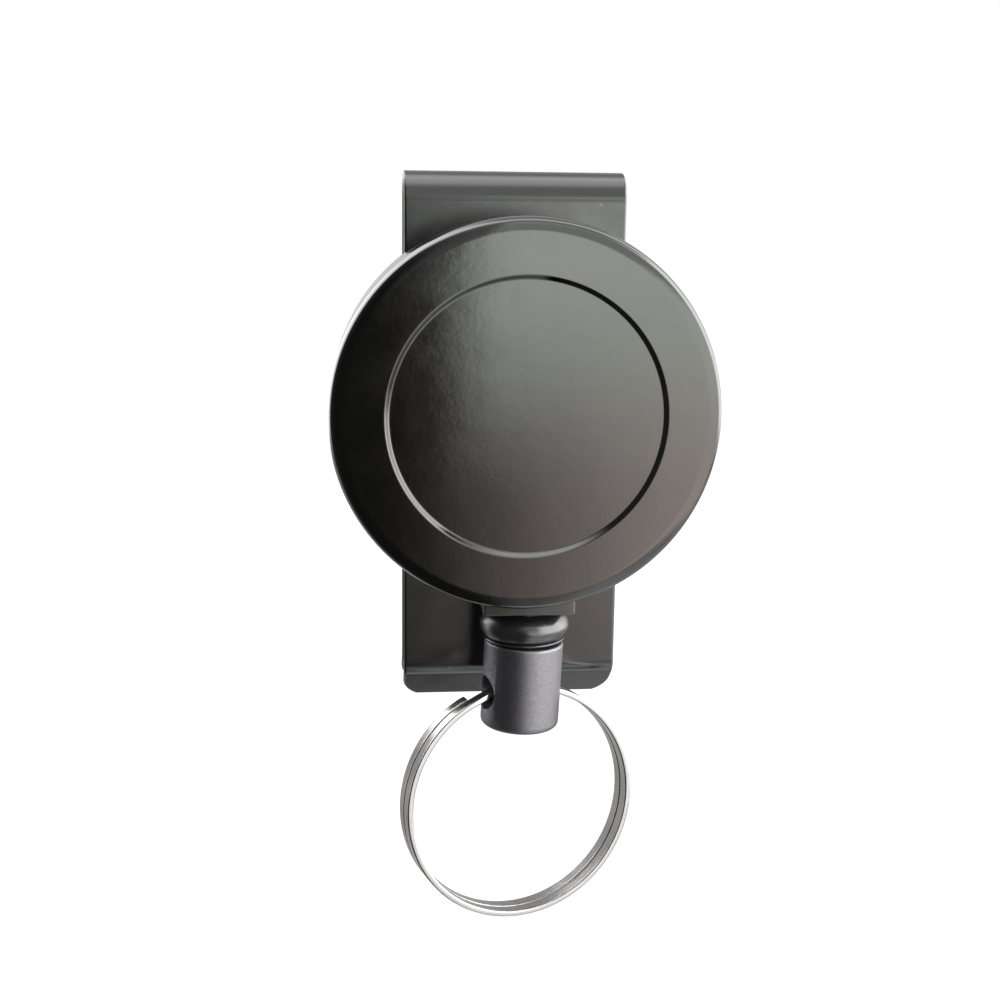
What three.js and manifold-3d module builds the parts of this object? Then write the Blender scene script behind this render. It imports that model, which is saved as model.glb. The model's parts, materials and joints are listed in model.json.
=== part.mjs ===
// Retractable badge reel: a round spring-wound case on a folded steel belt clip, with a cord that ends in a
// bumper, a swivelling barrel and a split ring.
// Millimetres. The face looks along -Y, +Z is up, and +X is to the right as the face is seen.
// The origin is on the reel's axis, in the middle of the belt gap between the clip's two plates.
import * as THREE from 'three';
import { mergeVertices } from 'three/addons/utils/BufferGeometryUtils.js';
import Module from 'manifold-3d';

const wasm = await Module();
wasm.setup();

// ---------------------------------------------------------------- driving dimensions

// Belt clip: one folded strip of sheet steel
const SHEET = 0.8;
const BELT_GAP = 4.6;
const CLIP_WIDTH = 24.1;
const CLIP_TOP_Z = 24.55;
const CLIP_BOTTOM_Z = -35.7;
const CLIP_CORNER = 3;
const LIP_BEND_Z = -30.4;
const LIP_BEND_RADIUS = 1.6;
const LIP_ANGLE = 50;
const LEG_SPLIT = 0.15;
const PLATE_BACK_Y = -BELT_GAP / 2;
const PLATE_FRONT_Y = PLATE_BACK_Y - SHEET;
const PLATE_MIDDLE = (BELT_GAP + SHEET) / 2;
const FOLD_Z = CLIP_TOP_Z - BELT_GAP / 2 - SHEET;

// Case: a deep front cover over a shallow rear housing
const CASE_RADIUS = 20.3;
const CASE_DRAFT = 0.35;
const FACE_Y = -17;
const CASE_BACK_Y = PLATE_FRONT_Y - 0.05;
const SEAM_Y = -6.2;
const SEAM_GAP = 0.05;
const SEAM_EDGE = 0.1;
const SHELL = 1.2;
const RIM_ROLL = 0.62;
const RIM_ROLL_DEPTH = 1.6;
const BACK_EDGE = 0.45;
const SHOULDER = 0.8;
const SHOULDER_DROP = 0.06;
const RECESS_RADIUS = 14.5;
const RECESS_DEPTH = 0.45;
const RECESS_SLOPE = 0.38;
const HOUSING_LIP = 0.8;
const HOUSING_LIP_GAP = 0.08;
const PAD_RADIUS = 4.5;
const PAD_Y = -5;

// Case screws, in bosses at the case's two sides
const SCREW_X = 15.5;
const SCREW_Z = 5.6;
const SCREW_SHANK = 0.75;
const SCREW_HEAD = 1.5;
const SCREW_HEAD_HEIGHT = 0.9;
const SCREW_TIP_Y = SEAM_Y - 5;
const SCREW_SLOT = 0.22;
const SCREW_SLOT_REACH = 0.95;
const SLOT_DEPTH = 0.4;
const BOSS_RADIUS = 2.05;
const BOSS_SEAM_Y = SEAM_Y - 1.2;

// Flush rivets, whose sunk heads face the belt
const RIVET_Z = [7.5, -7.5];
const RIVET_RADIUS = 1;
const RIVET_HOLE = 1.08;
const RIVET_SINK = 0.5;
const RIVET_HEAD = 1.9;
const RIVET_INNER_HEAD = 1.7;
const RIVET_INNER_HEIGHT = 0.6;
const RIVET_RECESS = 0.06;

// Reel
const CORD_Y = -10.5;
const CORD_X = 0.75;
const CORD_RADIUS = 0.5;
const POST_RADIUS = 2.5;
const POST_FLANGE_RADIUS = 4;
const POST_FLANGE = 0.75;
const POST_FLANGE_Y = PAD_Y - 0.05;
const POST_TIP_Y = -15.2;
const POST_BORE = 0.96;
const POST_SCREW_SHANK = 0.9;
const POST_SCREW_HEAD = 2;
const POST_SCREW_HEAD_HEIGHT = 0.8;
const POST_SCREW_TIP_Y = -7.25;
const POST_SCREW_SLOT = 0.25;
const POST_SCREW_SLOT_REACH = 1.3;
const POST_SLOT = 0.3;
const GROOVE_RADIUS = 2;
const GROOVE_FRONT_Y = -14.95;
const GROOVE_BACK_Y = -14.45;
const SNAP_RING_RADIUS = 3.4;
const SNAP_RING_OPENING = 0.9;
const SNAP_RING_GAP = 0.06;
const WASHER_RADIUS = 4.3;
const WASHER_FRONT_Y = -6.4;
const WASHER_BACK_Y = -5.88;
const FLANGE_RADIUS = 14;
const FLANGE = 0.8;
const CHANNEL = 3.4;
const CHANNEL_FRONT_Y = CORD_Y - CHANNEL / 2;
const CHANNEL_BACK_Y = CORD_Y + CHANNEL / 2;
const DRUM_RADIUS = 9.5;
const DRUM_WALL = 0.9;
const DRUM_BACK_Y = -7.25;
const WEB_FRONT_Y = -14.2;
const WEB_BACK_Y = WEB_FRONT_Y + FLANGE;
const COVER_BACK_Y = -6.5;
const RUNNING_GAP = 0.06;
const WINDING_RADIUS = 12.5;
const WINDING_ROUND = 0.4;
const SPRING_THICKNESS = 0.26;
const SPRING_TURNS = 9;
const SPRING_INNER_RADIUS = POST_RADIUS + 0.35;
const SPRING_OUTER_RADIUS = DRUM_RADIUS - DRUM_WALL - 0.3;
const SPRING_HOOK = 0.45;
const HOOK_SLOT = 0.35;
const STOP_PLACE = -10.8;
const STOP_RADIUS = 0.95;
const STOP_HOLE = 0.6;

// Outlet
const NOZZLE_WIDTH = 9.8;
const NOZZLE_FRONT_Y = -15;
const NOZZLE_BACK_Y = -6.3;
const NOZZLE_BOTTOM_Z = -21.4;
const NOZZLE_TOP_Z = -16.4;
const NOZZLE_SHOULDER = 0.7;
const NOZZLE_SHOULDER_HEIGHT = 1;
const NOZZLE_SHOULDER_FRONT_Y = -13.4;
const NOZZLE_SHOULDER_BACK_Y = -7.8;
const NOZZLE_GAP = 0.1;
const NOZZLE_SLOT_TOP_Z = -14.5;
const EYELET_RADIUS = 1.7;
const EYELET_BORE = 0.75;
const EYELET_FLANGE = 2.4;
const EYELET_FLANGE_HEIGHT = 0.5;
const EYELET_SEAT = 2.5;

// Cord end
const CORD_BEND_Z = -15.9;
const CORD_BEND_LENGTH = 1.6;
const CORD_END_DROP = 4.1;
const BUMPER_RADIUS = 4.85;
const BUMPER_BEAD = 1.5;
const BUMPER_BEAD_Z = -23.45;
const BUMPER_NECK = 3.3;
const BUMPER_LIP = 4.4;
const BUMPER_LIP_HEIGHT = 0.25;
const BUMPER_TOP_Z = -21.45;
const BUMPER_BOTTOM_Z = -25;
const BUMPER_BORE = 0.56;
const PIVOT_Z = -25.2;
const BARREL_RADIUS = 4.3;
const BARREL_TOP = 0.12;
const BARREL_LENGTH = 9.63;
const BARREL_FOOT_ROUND = 0.7;
const BARREL_TOP_CHAMFER = 0.3;
const BARREL_TILT = 2.4;
const BARREL_ROOF = 1.48;
const CORD_HOLE = 0.8;
const CROSS_HOLE_RADIUS = 1.9;
const CROSS_HOLE_DROP = 5.85;
const FERRULE_RADIUS = 1.5;
const FERRULE_GAP = 0.15;
const FERRULE_TOP = 2;
const SWIVEL_WASHER_TOP = 1.65;
const SWIVEL_WASHER = 0.3;
const RING_OUTER_RADIUS = 13.2;
const RING_BAND = 0.65;
const RING_WIRE = 1.5;
const RING_COIL_PITCH = 1.6;
const RING_BACK_END = 118;
const RING_STEP = [446, 477];
const RING_FRONT_END = 800;
const RING_SWIVEL = 15;
const RING_LEAN = 4;
const RING_TOP_DROP = 5;

// How many sides round shapes have, and how far a cutter passes beyond what it cuts
const ROUND = 48;
const INNER_ROUND = 36;
const SMALL_ROUND = 24;
const SCREW_ROUND = 20;
const BOSS_ROUND = 16;
const SHANK_ROUND = 12;
const BEYOND = 1;

// ---------------------------------------------------------------- finishes

function finish(color, roughness, metalness) {
  return new THREE.MeshStandardMaterial({ color, roughness, metalness });
}
const blackCase = finish(0x1d1e1c, 0.38, 0.35);
const blackClip = finish(0x1b1c1e, 0.36, 0.4);
const blackPlastic = finish(0x191a1c, 0.3, 0);
const gunmetal = finish(0x4a494c, 0.42, 0.85);
const steel = finish(0xb9b6b2, 0.25, 1);
const darkSteel = finish(0x3a3a3a, 0.35, 0.9);
const springSteel = finish(0x6c7078, 0.3, 1);
const whitePlastic = finish(0xd8d6cf, 0.5, 0);
const brass = finish(0xb08d45, 0.35, 1);
const cordBlack = finish(0x161616, 0.9, 0);

// ---------------------------------------------------------------- helpers

const point = (x, y) => new THREE.Vector2(x, y);
const radians = THREE.MathUtils.degToRad;

function solid(geometry) {
  const bare = geometry.clone();
  bare.deleteAttribute('normal');
  bare.deleteAttribute('uv');
  const merged = mergeVertices(bare, 1e-5);
  const vertProperties = new Float32Array(merged.attributes.position.array);
  const triVerts = new Uint32Array(merged.index.array);
  return new wasm.Manifold(new wasm.Mesh({ numProp: 3, vertProperties, triVerts }));
}

function toGeometry(manifold) {
  const mesh = manifold.getMesh();
  const geometry = new THREE.BufferGeometry();
  geometry.setAttribute('position', new THREE.BufferAttribute(new Float32Array(mesh.vertProperties), 3));
  geometry.setIndex(new THREE.BufferAttribute(new Uint32Array(mesh.triVerts), 1));
  geometry.computeVertexNormals();
  return geometry;
}

// A closed loop of points, in the order that gives a lathe's faces their outward side.
function closedProfile(profile) {
  const points = profile.map(([r, height]) => point(r, height));
  if (THREE.ShapeUtils.isClockWise(points)) points.reverse();
  const onAxis = points.filter((p) => p.x === 0);
  if (onAxis.length === 0) return [...points, points[0].clone()];
  // Start at the axis, so that the loop's one side along the axis is left open.
  while (!(points[0].x === 0 && points[points.length - 1].x === 0)) points.push(points.shift());
  return points;
}

// A solid turned about +Z, from a loop of [radius, z] points.
function turned(profile, segments = SMALL_ROUND) {
  return new THREE.LatheGeometry(closedProfile(profile), segments).rotateX(Math.PI / 2);
}

// A solid turned about the reel's axis, from a loop of [radius, y] points.
function turnedOnReel(profile, segments = ROUND) {
  return new THREE.LatheGeometry(closedProfile(profile), segments);
}

// A cylinder along Y between two y values, centred at x, z.
function pinAlongY(radius, y0, y1, x = 0, z = 0, segments = SMALL_ROUND) {
  const geometry = new THREE.CylinderGeometry(radius, radius, Math.abs(y1 - y0), segments);
  return geometry.translate(x, (y0 + y1) / 2, z);
}

function box(x0, x1, y0, y1, z0, z1) {
  const geometry = new THREE.BoxGeometry(x1 - x0, y1 - y0, z1 - z0);
  return geometry.translate((x0 + x1) / 2, (y0 + y1) / 2, (z0 + z1) / 2);
}

function extruded(outline, depth) {
  return new THREE.ExtrudeGeometry(new THREE.Shape(outline), { depth, bevelEnabled: false });
}

// Points on an arc, angles in degrees.
function arc(cx, cy, radius, from, to, steps) {
  const points = [];
  for (let i = 0; i <= steps; i += 1) {
    const angle = radians(from + ((to - from) * i) / steps);
    points.push([cx + radius * Math.cos(angle), cy + radius * Math.sin(angle)]);
  }
  return points;
}

function mesh(name, geometry, material) {
  const made = new THREE.Mesh(geometry, material);
  made.name = name;
  return made;
}

// ---------------------------------------------------------------- belt clip

// A strip of sheet in the YZ plane, given by its centre line, swept across the clip's width.
function strip(centreLine) {
  const front = [];
  const back = [];
  centreLine.forEach(([y, z], i) => {
    const before = centreLine[Math.max(i - 1, 0)];
    const after = centreLine[Math.min(i + 1, centreLine.length - 1)];
    const length = Math.hypot(after[0] - before[0], after[1] - before[1]);
    const normal = [-(after[1] - before[1]) / length, (after[0] - before[0]) / length];
    front.push([y + (normal[0] * SHEET) / 2, z + (normal[1] * SHEET) / 2]);
    back.push([y - (normal[0] * SHEET) / 2, z - (normal[1] * SHEET) / 2]);
  });
  const outline = [...front, ...back.reverse()].map(([y, z]) => point(y, z));
  if (THREE.ShapeUtils.isClockWise(outline)) outline.reverse();
  const geometry = extruded(outline, CLIP_WIDTH);
  // The shape's x, y and depth become the clip's y, z and x.
  const turn = new THREE.Matrix4().makeBasis(
    new THREE.Vector3(0, 1, 0),
    new THREE.Vector3(0, 0, 1),
    new THREE.Vector3(1, 0, 0),
  );
  geometry.applyMatrix4(turn);
  geometry.translate(-CLIP_WIDTH / 2, 0, 0);
  return solid(geometry);
}

// The clip's outline from the front, with rounded lower corners, as a thick block to cut the strips with.
function clipOutline() {
  const half = CLIP_WIDTH / 2;
  const top = CLIP_TOP_Z + BEYOND;
  const r = CLIP_CORNER;
  const outline = [
    [-half, top],
    ...arc(-half + r, CLIP_BOTTOM_Z + r, r, 180, 270, 8),
    ...arc(half - r, CLIP_BOTTOM_Z + r, r, 270, 360, 8),
    [half, top],
  ].map(([x, z]) => point(x, z));
  const depth = CLIP_WIDTH;
  const geometry = extruded(outline, depth);
  geometry.rotateX(Math.PI / 2);
  geometry.translate(0, depth / 2, 0);
  return solid(geometry);
}

// The lower end of either plate, bent backwards, from its bend to a little past its tip.
function bentEnd(y) {
  const bend = arc(y + LIP_BEND_RADIUS, LIP_BEND_Z, LIP_BEND_RADIUS, 180, 180 + LIP_ANGLE, 6);
  const [endY, endZ] = bend[bend.length - 1];
  const angle = radians(LIP_ANGLE);
  const reach = (endZ - CLIP_BOTTOM_Z + BEYOND) / Math.cos(angle);
  return [...bend, [endY + Math.sin(angle) * reach, endZ - Math.cos(angle) * reach]];
}

function clipPlate() {
  const fold = arc(0, FOLD_Z, PLATE_MIDDLE, 180, 0, 16);
  const line = [...bentEnd(-PLATE_MIDDLE).reverse(), ...fold];
  let plate = strip(line).intersect(clipOutline());
  for (const z of RIVET_Z) {
    plate = plate.subtract(solid(pinAlongY(RIVET_HOLE, PLATE_FRONT_Y - BEYOND, PLATE_BACK_Y + BEYOND, 0, z)));
    plate = plate.subtract(solid(rivetSink(z)));
  }
  return mesh('clip_plate', toGeometry(plate), blackClip);
}

function clipLeg() {
  const line = [[PLATE_MIDDLE, FOLD_Z - LEG_SPLIT], ...bentEnd(PLATE_MIDDLE)];
  return mesh('clip_leg', toGeometry(strip(line).intersect(clipOutline())), blackClip);
}

// The cone in the plate that a rivet's head fills, cut a little larger than the head.
function rivetSink(z) {
  const wide = RIVET_HEAD + 0.1;
  const deep = PLATE_BACK_Y - RIVET_SINK - 0.1;
  const outer = PLATE_BACK_Y + 0.2;
  const profile = [[0, outer], [wide, outer], [wide, PLATE_BACK_Y], [RIVET_HOLE - 0.02, deep], [0, deep]];
  return turnedOnReel(profile, SMALL_ROUND).translate(0, 0, z);
}

function clipRivet(name, z) {
  const outer = PLATE_BACK_Y - RIVET_RECESS;
  const inner = CASE_BACK_Y - SHELL - RIVET_RECESS;
  const tip = inner - RIVET_INNER_HEIGHT;
  const profile = [
    [0, outer],
    [RIVET_HEAD, outer],
    [RIVET_RADIUS, outer - RIVET_SINK],
    [RIVET_RADIUS, inner],
    [RIVET_INNER_HEAD, inner],
    [RIVET_INNER_HEAD, tip + 0.25],
    [RIVET_INNER_HEAD - 0.4, tip],
    [0, tip],
  ];
  return mesh(name, turnedOnReel(profile, SMALL_ROUND).translate(0, 0, z), darkSteel);
}

// ---------------------------------------------------------------- case

const screwPlaces = [
  [SCREW_X, SCREW_Z],
  [SCREW_X, -SCREW_Z],
  [-SCREW_X, SCREW_Z],
  [-SCREW_X, -SCREW_Z],
];

// The slot in the case's side wall that the outlet nozzle fills.
function nozzleSlot(backY) {
  const half = NOZZLE_WIDTH / 2 + NOZZLE_GAP;
  const front = NOZZLE_FRONT_Y - NOZZLE_GAP;
  return solid(box(CORD_X - half, CORD_X + half, front, backY, -CASE_RADIUS - BEYOND, NOZZLE_SLOT_TOP_Z));
}

function frontCover() {
  const edge = CASE_RADIUS - RIM_ROLL;
  const rimY = FACE_Y + SHOULDER_DROP + RIM_ROLL_DEPTH;
  const seamRadius = CASE_RADIUS - CASE_DRAFT;
  const inner = CASE_RADIUS - SHELL;
  const floorY = FACE_Y + RECESS_DEPTH;
  const wallY = FACE_Y + SHELL;
  const profile = [
    [0, floorY],
    [0, floorY + SHELL],
    [RECESS_RADIUS + SHELL / 2, floorY + SHELL],
    [RECESS_RADIUS + SHELL, wallY],
    [inner - 1, wallY],
    [inner, wallY + 1],
    [inner, SEAM_Y],
    [seamRadius - SEAM_EDGE, SEAM_Y],
    [seamRadius, SEAM_Y - SEAM_EDGE],
    // The rim rolls over from the side to the shoulder in a quarter of an ellipse.
    ...arc(0, 0, 1, 0, 90, 4).map(([out, up]) => [edge + RIM_ROLL * out, rimY - RIM_ROLL_DEPTH * up]),
    [edge - SHOULDER, FACE_Y],
    [RECESS_RADIUS, FACE_Y],
    [RECESS_RADIUS - RECESS_SLOPE, floorY],
  ];
  let cover = solid(turnedOnReel(profile)).subtract(nozzleSlot(SEAM_Y + BEYOND));
  const thread = SCREW_SHANK + 0.05;
  for (const [x, z] of screwPlaces) {
    cover = cover.add(solid(pinAlongY(BOSS_RADIUS, wallY - 0.3, BOSS_SEAM_Y - 0.1, x, z, BOSS_ROUND)));
    cover = cover.subtract(solid(pinAlongY(thread, SCREW_TIP_Y - 0.2, SEAM_Y, x, z, SHANK_ROUND)));
  }
  return mesh('front_cover', toGeometry(cover), blackCase);
}

function rearHousing() {
  const back = CASE_BACK_Y - SHELL;
  const lipOuter = CASE_RADIUS - SHELL - HOUSING_LIP_GAP;
  const lipInner = lipOuter - HOUSING_LIP;
  const seam = SEAM_Y + SEAM_GAP;
  const outside = CASE_BACK_Y + BEYOND;
  const outer = CASE_RADIUS - CASE_DRAFT;
  const backEdge = arc(outer - BACK_EDGE, -CASE_BACK_Y + BACK_EDGE, BACK_EDGE, 0, -90, 3);
  const profile = [
    [0, CASE_BACK_Y],
    [0, PAD_Y],
    [PAD_RADIUS, PAD_Y],
    [PAD_RADIUS, back],
    [lipInner, back],
    [lipInner, BOSS_SEAM_Y],
    [lipOuter, BOSS_SEAM_Y],
    [lipOuter, seam],
    [outer - SEAM_EDGE, seam],
    [outer, seam + SEAM_EDGE],
    ...backEdge.map(([r, y]) => [r, -y]),
  ];
  let housing = solid(turnedOnReel(profile)).subtract(nozzleSlot(seam));
  const sunk = CASE_BACK_Y - SCREW_HEAD_HEIGHT - 0.15;
  const through = BOSS_SEAM_Y - BEYOND;
  for (const [x, z] of screwPlaces) {
    housing = housing.add(solid(pinAlongY(BOSS_RADIUS, back + 0.2, BOSS_SEAM_Y, x, z, BOSS_ROUND)));
    housing = housing.subtract(solid(pinAlongY(SCREW_SHANK + 0.2, through, outside, x, z, SHANK_ROUND)));
    housing = housing.subtract(solid(pinAlongY(SCREW_HEAD + 0.15, sunk, outside, x, z, SCREW_ROUND)));
  }
  for (const z of RIVET_Z) {
    housing = housing.subtract(solid(pinAlongY(RIVET_HOLE, back - BEYOND, outside, 0, z)));
  }
  housing = housing.subtract(solid(pinAlongY(POST_SCREW_SHANK + 0.2, PAD_Y - BEYOND, outside)));
  housing = housing.subtract(solid(pinAlongY(POST_SCREW_HEAD + 0.2, CASE_BACK_Y - 1, outside)));
  return mesh('rear_housing', toGeometry(housing), blackCase);
}

// A cross slot in a screw's head, to cut away.
function crossSlot(half, reach, head) {
  const depth = head - SLOT_DEPTH;
  const across = solid(box(-half, half, depth, head + BEYOND, -reach, reach));
  return across.add(solid(box(-reach, reach, depth, head + BEYOND, -half, half)));
}

function caseScrew(name, x, z) {
  const head = CASE_BACK_Y - 0.1;
  let screw = solid(pinAlongY(SCREW_HEAD, head - SCREW_HEAD_HEIGHT, head, 0, 0, SCREW_ROUND));
  screw = screw.add(solid(pinAlongY(SCREW_SHANK, SCREW_TIP_Y, head - 0.2, 0, 0, SHANK_ROUND)));
  screw = screw.subtract(crossSlot(SCREW_SLOT, SCREW_SLOT_REACH, head));
  return mesh(name, toGeometry(screw).translate(x, 0, z), steel);
}

// ---------------------------------------------------------------- reel

function centrePost() {
  const flange = POST_FLANGE_Y - POST_FLANGE;
  const profile = [
    [0, POST_FLANGE_Y],
    [POST_FLANGE_RADIUS, POST_FLANGE_Y],
    [POST_FLANGE_RADIUS, flange],
    [POST_RADIUS, flange],
    [POST_RADIUS, GROOVE_BACK_Y],
    [GROOVE_RADIUS, GROOVE_BACK_Y],
    [GROOVE_RADIUS, GROOVE_FRONT_Y],
    [POST_RADIUS - 0.1, GROOVE_FRONT_Y],
    [POST_RADIUS - 0.3, POST_TIP_Y],
    [0, POST_TIP_Y],
  ];
  const bore = pinAlongY(POST_BORE, POST_FLANGE_Y + BEYOND, POST_SCREW_TIP_Y - 0.15, 0, 0, SHANK_ROUND);
  // The spring's inner end hooks into a slot that reaches the post's middle.
  const slot = box(-0.4, POST_RADIUS + BEYOND, WEB_BACK_Y + 0.1, DRUM_BACK_Y - 0.3, -POST_SLOT, POST_SLOT);
  const post = solid(turnedOnReel(profile, INNER_ROUND / 2)).subtract(solid(bore)).subtract(solid(slot));
  return mesh('centre_post', toGeometry(post), darkSteel);
}

function postScrew() {
  const head = CASE_BACK_Y - 0.08;
  let screw = solid(pinAlongY(POST_SCREW_HEAD, head - POST_SCREW_HEAD_HEIGHT, head, 0, 0, SCREW_ROUND));
  screw = screw.add(solid(pinAlongY(POST_SCREW_SHANK, POST_SCREW_TIP_Y, head - 0.2, 0, 0, SHANK_ROUND)));
  screw = screw.subtract(crossSlot(POST_SCREW_SLOT, POST_SCREW_SLOT_REACH, head));
  return mesh('post_screw', toGeometry(screw), steel);
}

// A snap ring in the post's groove, open on one side.
function retainingRing() {
  const front = GROOVE_FRONT_Y + SNAP_RING_GAP;
  const back = GROOVE_BACK_Y - SNAP_RING_GAP;
  const inner = GROOVE_RADIUS + 0.08;
  const outer = SNAP_RING_RADIUS;
  const ring = turnedOnReel([[inner, back], [outer, back], [outer, front], [inner, front]], INNER_ROUND / 2);
  const half = SNAP_RING_OPENING;
  const opening = box(-half, half, front - BEYOND, back + BEYOND, -outer - BEYOND, 0);
  return mesh('retaining_ring', toGeometry(solid(ring).subtract(solid(opening))), springSteel);
}

function thrustWasher() {
  const inner = POST_RADIUS + 0.1;
  const profile = [
    [inner, WASHER_BACK_Y],
    [WASHER_RADIUS, WASHER_BACK_Y],
    [WASHER_RADIUS, WASHER_FRONT_Y],
    [inner, WASHER_FRONT_Y],
  ];
  return mesh('thrust_washer', turnedOnReel(profile, INNER_ROUND / 2), whitePlastic);
}

function spool() {
  const hole = POST_RADIUS + RUNNING_GAP;
  const profile = [
    [hole, WEB_BACK_Y],
    [DRUM_RADIUS - DRUM_WALL, WEB_BACK_Y],
    [DRUM_RADIUS - DRUM_WALL, DRUM_BACK_Y],
    [DRUM_RADIUS, DRUM_BACK_Y],
    [DRUM_RADIUS, CHANNEL_BACK_Y + FLANGE],
    [FLANGE_RADIUS, CHANNEL_BACK_Y + FLANGE],
    [FLANGE_RADIUS, CHANNEL_BACK_Y],
    [DRUM_RADIUS, CHANNEL_BACK_Y],
    [DRUM_RADIUS, CHANNEL_FRONT_Y],
    [FLANGE_RADIUS, CHANNEL_FRONT_Y],
    [FLANGE_RADIUS, CHANNEL_FRONT_Y - FLANGE],
    [DRUM_RADIUS, CHANNEL_FRONT_Y - FLANGE],
    [DRUM_RADIUS - 0.4, WEB_FRONT_Y],
    [hole, WEB_FRONT_Y],
  ];
  // The spring's outer end hooks into a slot in the drum's wall.
  const hook = SPRING_OUTER_RADIUS + 0.1;
  const slotOuter = DRUM_RADIUS - 0.15;
  const slot = box(hook - HOOK_SLOT, slotOuter, WEB_BACK_Y, DRUM_BACK_Y + BEYOND, -HOOK_SLOT, HOOK_SLOT);
  // The cord's inner end comes out through a hole in the front flange.
  const cordHole = pinAlongY(STOP_HOLE, CHANNEL_FRONT_Y - 2 * FLANGE, CORD_Y, STOP_PLACE, 0, BOSS_ROUND);
  const body = solid(turnedOnReel(profile, INNER_ROUND)).subtract(solid(slot)).subtract(solid(cordHole));
  return mesh('spool', toGeometry(body), whitePlastic);
}

function springCover() {
  const front = DRUM_BACK_Y + RUNNING_GAP;
  const inner = POST_RADIUS + RUNNING_GAP;
  const profile = [
    [inner, COVER_BACK_Y],
    [DRUM_RADIUS - 0.2, COVER_BACK_Y],
    [DRUM_RADIUS, COVER_BACK_Y - 0.2],
    [DRUM_RADIUS, front],
    [inner, front],
  ];
  return mesh('spring_cover', turnedOnReel(profile, INNER_ROUND), whitePlastic);
}

// A flat spiral, wound from the post's slot out to the drum's wall. Both ends lie on the +X side.
function powerSpring() {
  const half = SPRING_THICKNESS / 2;
  const stepsPerTurn = 14;
  const steps = SPRING_TURNS * stepsPerTurn;
  const centreLine = [];
  for (let i = 0; i <= steps; i += 1) {
    const t = i / steps;
    const radius = SPRING_INNER_RADIUS + (SPRING_OUTER_RADIUS - SPRING_INNER_RADIUS) * t;
    const angle = 2 * Math.PI * SPRING_TURNS * t;
    centreLine.push([radius * Math.cos(angle), radius * Math.sin(angle), angle]);
  }
  const at = ([x, z, angle], offset) => [x + offset * Math.cos(angle), z + offset * Math.sin(angle)];
  const last = SPRING_OUTER_RADIUS;
  const outline = [
    ...centreLine.slice(0, -1).map((p) => at(p, half)),
    [last + half, -SPRING_THICKNESS],
    [last + half + SPRING_HOOK, -SPRING_THICKNESS],
    [last + half + SPRING_HOOK, 0],
    [last - half, 0],
    ...centreLine.slice(1, -1).reverse().map((p) => at(p, -half)),
    [SPRING_INNER_RADIUS - half, half],
    [0.1, half],
    [0.1, -half],
    [SPRING_INNER_RADIUS + half, -half],
  ].map(([x, z]) => point(x, z));
  if (THREE.ShapeUtils.isClockWise(outline)) outline.reverse();
  const front = WEB_BACK_Y + 0.3;
  const back = DRUM_BACK_Y - 0.4;
  const geometry = extruded(outline, back - front);
  geometry.rotateX(Math.PI / 2);
  geometry.translate(0, back, 0);
  return mesh('power_spring', geometry, springSteel);
}

// Nine turns of cord in three layers, as one ring with the layers' outline.
function cordWinding() {
  const inner = DRUM_RADIUS + 0.1;
  const half = CHANNEL / 2 - 0.1;
  const profile = [
    [inner, CORD_Y + half],
    [WINDING_RADIUS - WINDING_ROUND, CORD_Y + half],
    [WINDING_RADIUS, CORD_Y + half - WINDING_ROUND],
    [WINDING_RADIUS, CORD_Y - half + WINDING_ROUND],
    [WINDING_RADIUS - WINDING_ROUND, CORD_Y - half],
    [inner, CORD_Y - half],
  ];
  return mesh('cord_winding', turnedOnReel(profile, INNER_ROUND), cordBlack);
}

// The crimp that keeps the cord's inner end on the spool.
function cordStop() {
  const back = CHANNEL_FRONT_Y - FLANGE - 0.08;
  return mesh('cord_stop', pinAlongY(STOP_RADIUS, back - 0.9, back, STOP_PLACE, 0, SCREW_ROUND), brass);
}

// ---------------------------------------------------------------- outlet

function outletNozzle() {
  const half = NOZZLE_WIDTH / 2;
  const wide = half + NOZZLE_SHOULDER;
  const top = NOZZLE_TOP_Z;
  const shoulderZ = top - NOZZLE_SHOULDER_HEIGHT;
  const [front, back] = [NOZZLE_SHOULDER_FRONT_Y, NOZZLE_SHOULDER_BACK_Y];
  const neck = box(CORD_X - half, CORD_X + half, NOZZLE_FRONT_Y, NOZZLE_BACK_Y, NOZZLE_BOTTOM_Z, top);
  // Shoulders inside the case's wall keep the nozzle in.
  const shoulders = box(CORD_X - wide, CORD_X + wide, front, back, shoulderZ, top);
  let body = solid(neck).add(solid(shoulders));
  const drill = (radius, low, high) => {
    const cylinder = new THREE.CylinderGeometry(radius, radius, high - low, 32).rotateX(Math.PI / 2);
    return solid(cylinder.translate(CORD_X, CORD_Y, (low + high) / 2));
  };
  body = body.subtract(drill(EYELET_RADIUS + 0.05, NOZZLE_BOTTOM_Z - BEYOND, top + BEYOND));
  body = body.subtract(drill(EYELET_SEAT, top - EYELET_FLANGE_HEIGHT - 0.1, top + BEYOND));
  return mesh('outlet_nozzle', toGeometry(body), blackCase);
}

function cordEyelet() {
  const top = NOZZLE_TOP_Z - 0.05;
  const bottom = NOZZLE_BOTTOM_Z + 0.1;
  const flange = top - EYELET_FLANGE_HEIGHT;
  const profile = [
    [EYELET_BORE, bottom],
    [EYELET_RADIUS, bottom],
    [EYELET_RADIUS, flange],
    [EYELET_FLANGE, flange],
    [EYELET_FLANGE, top - 0.1],
    [EYELET_FLANGE - 0.2, top],
    [EYELET_BORE + 1, top],
    [EYELET_BORE + 0.4, flange],
    [EYELET_BORE, top - 1.6],
  ];
  return mesh('cord_eyelet', turned(profile, SCREW_ROUND).translate(CORD_X, CORD_Y, 0), brass);
}

// ---------------------------------------------------------------- cord end

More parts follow.
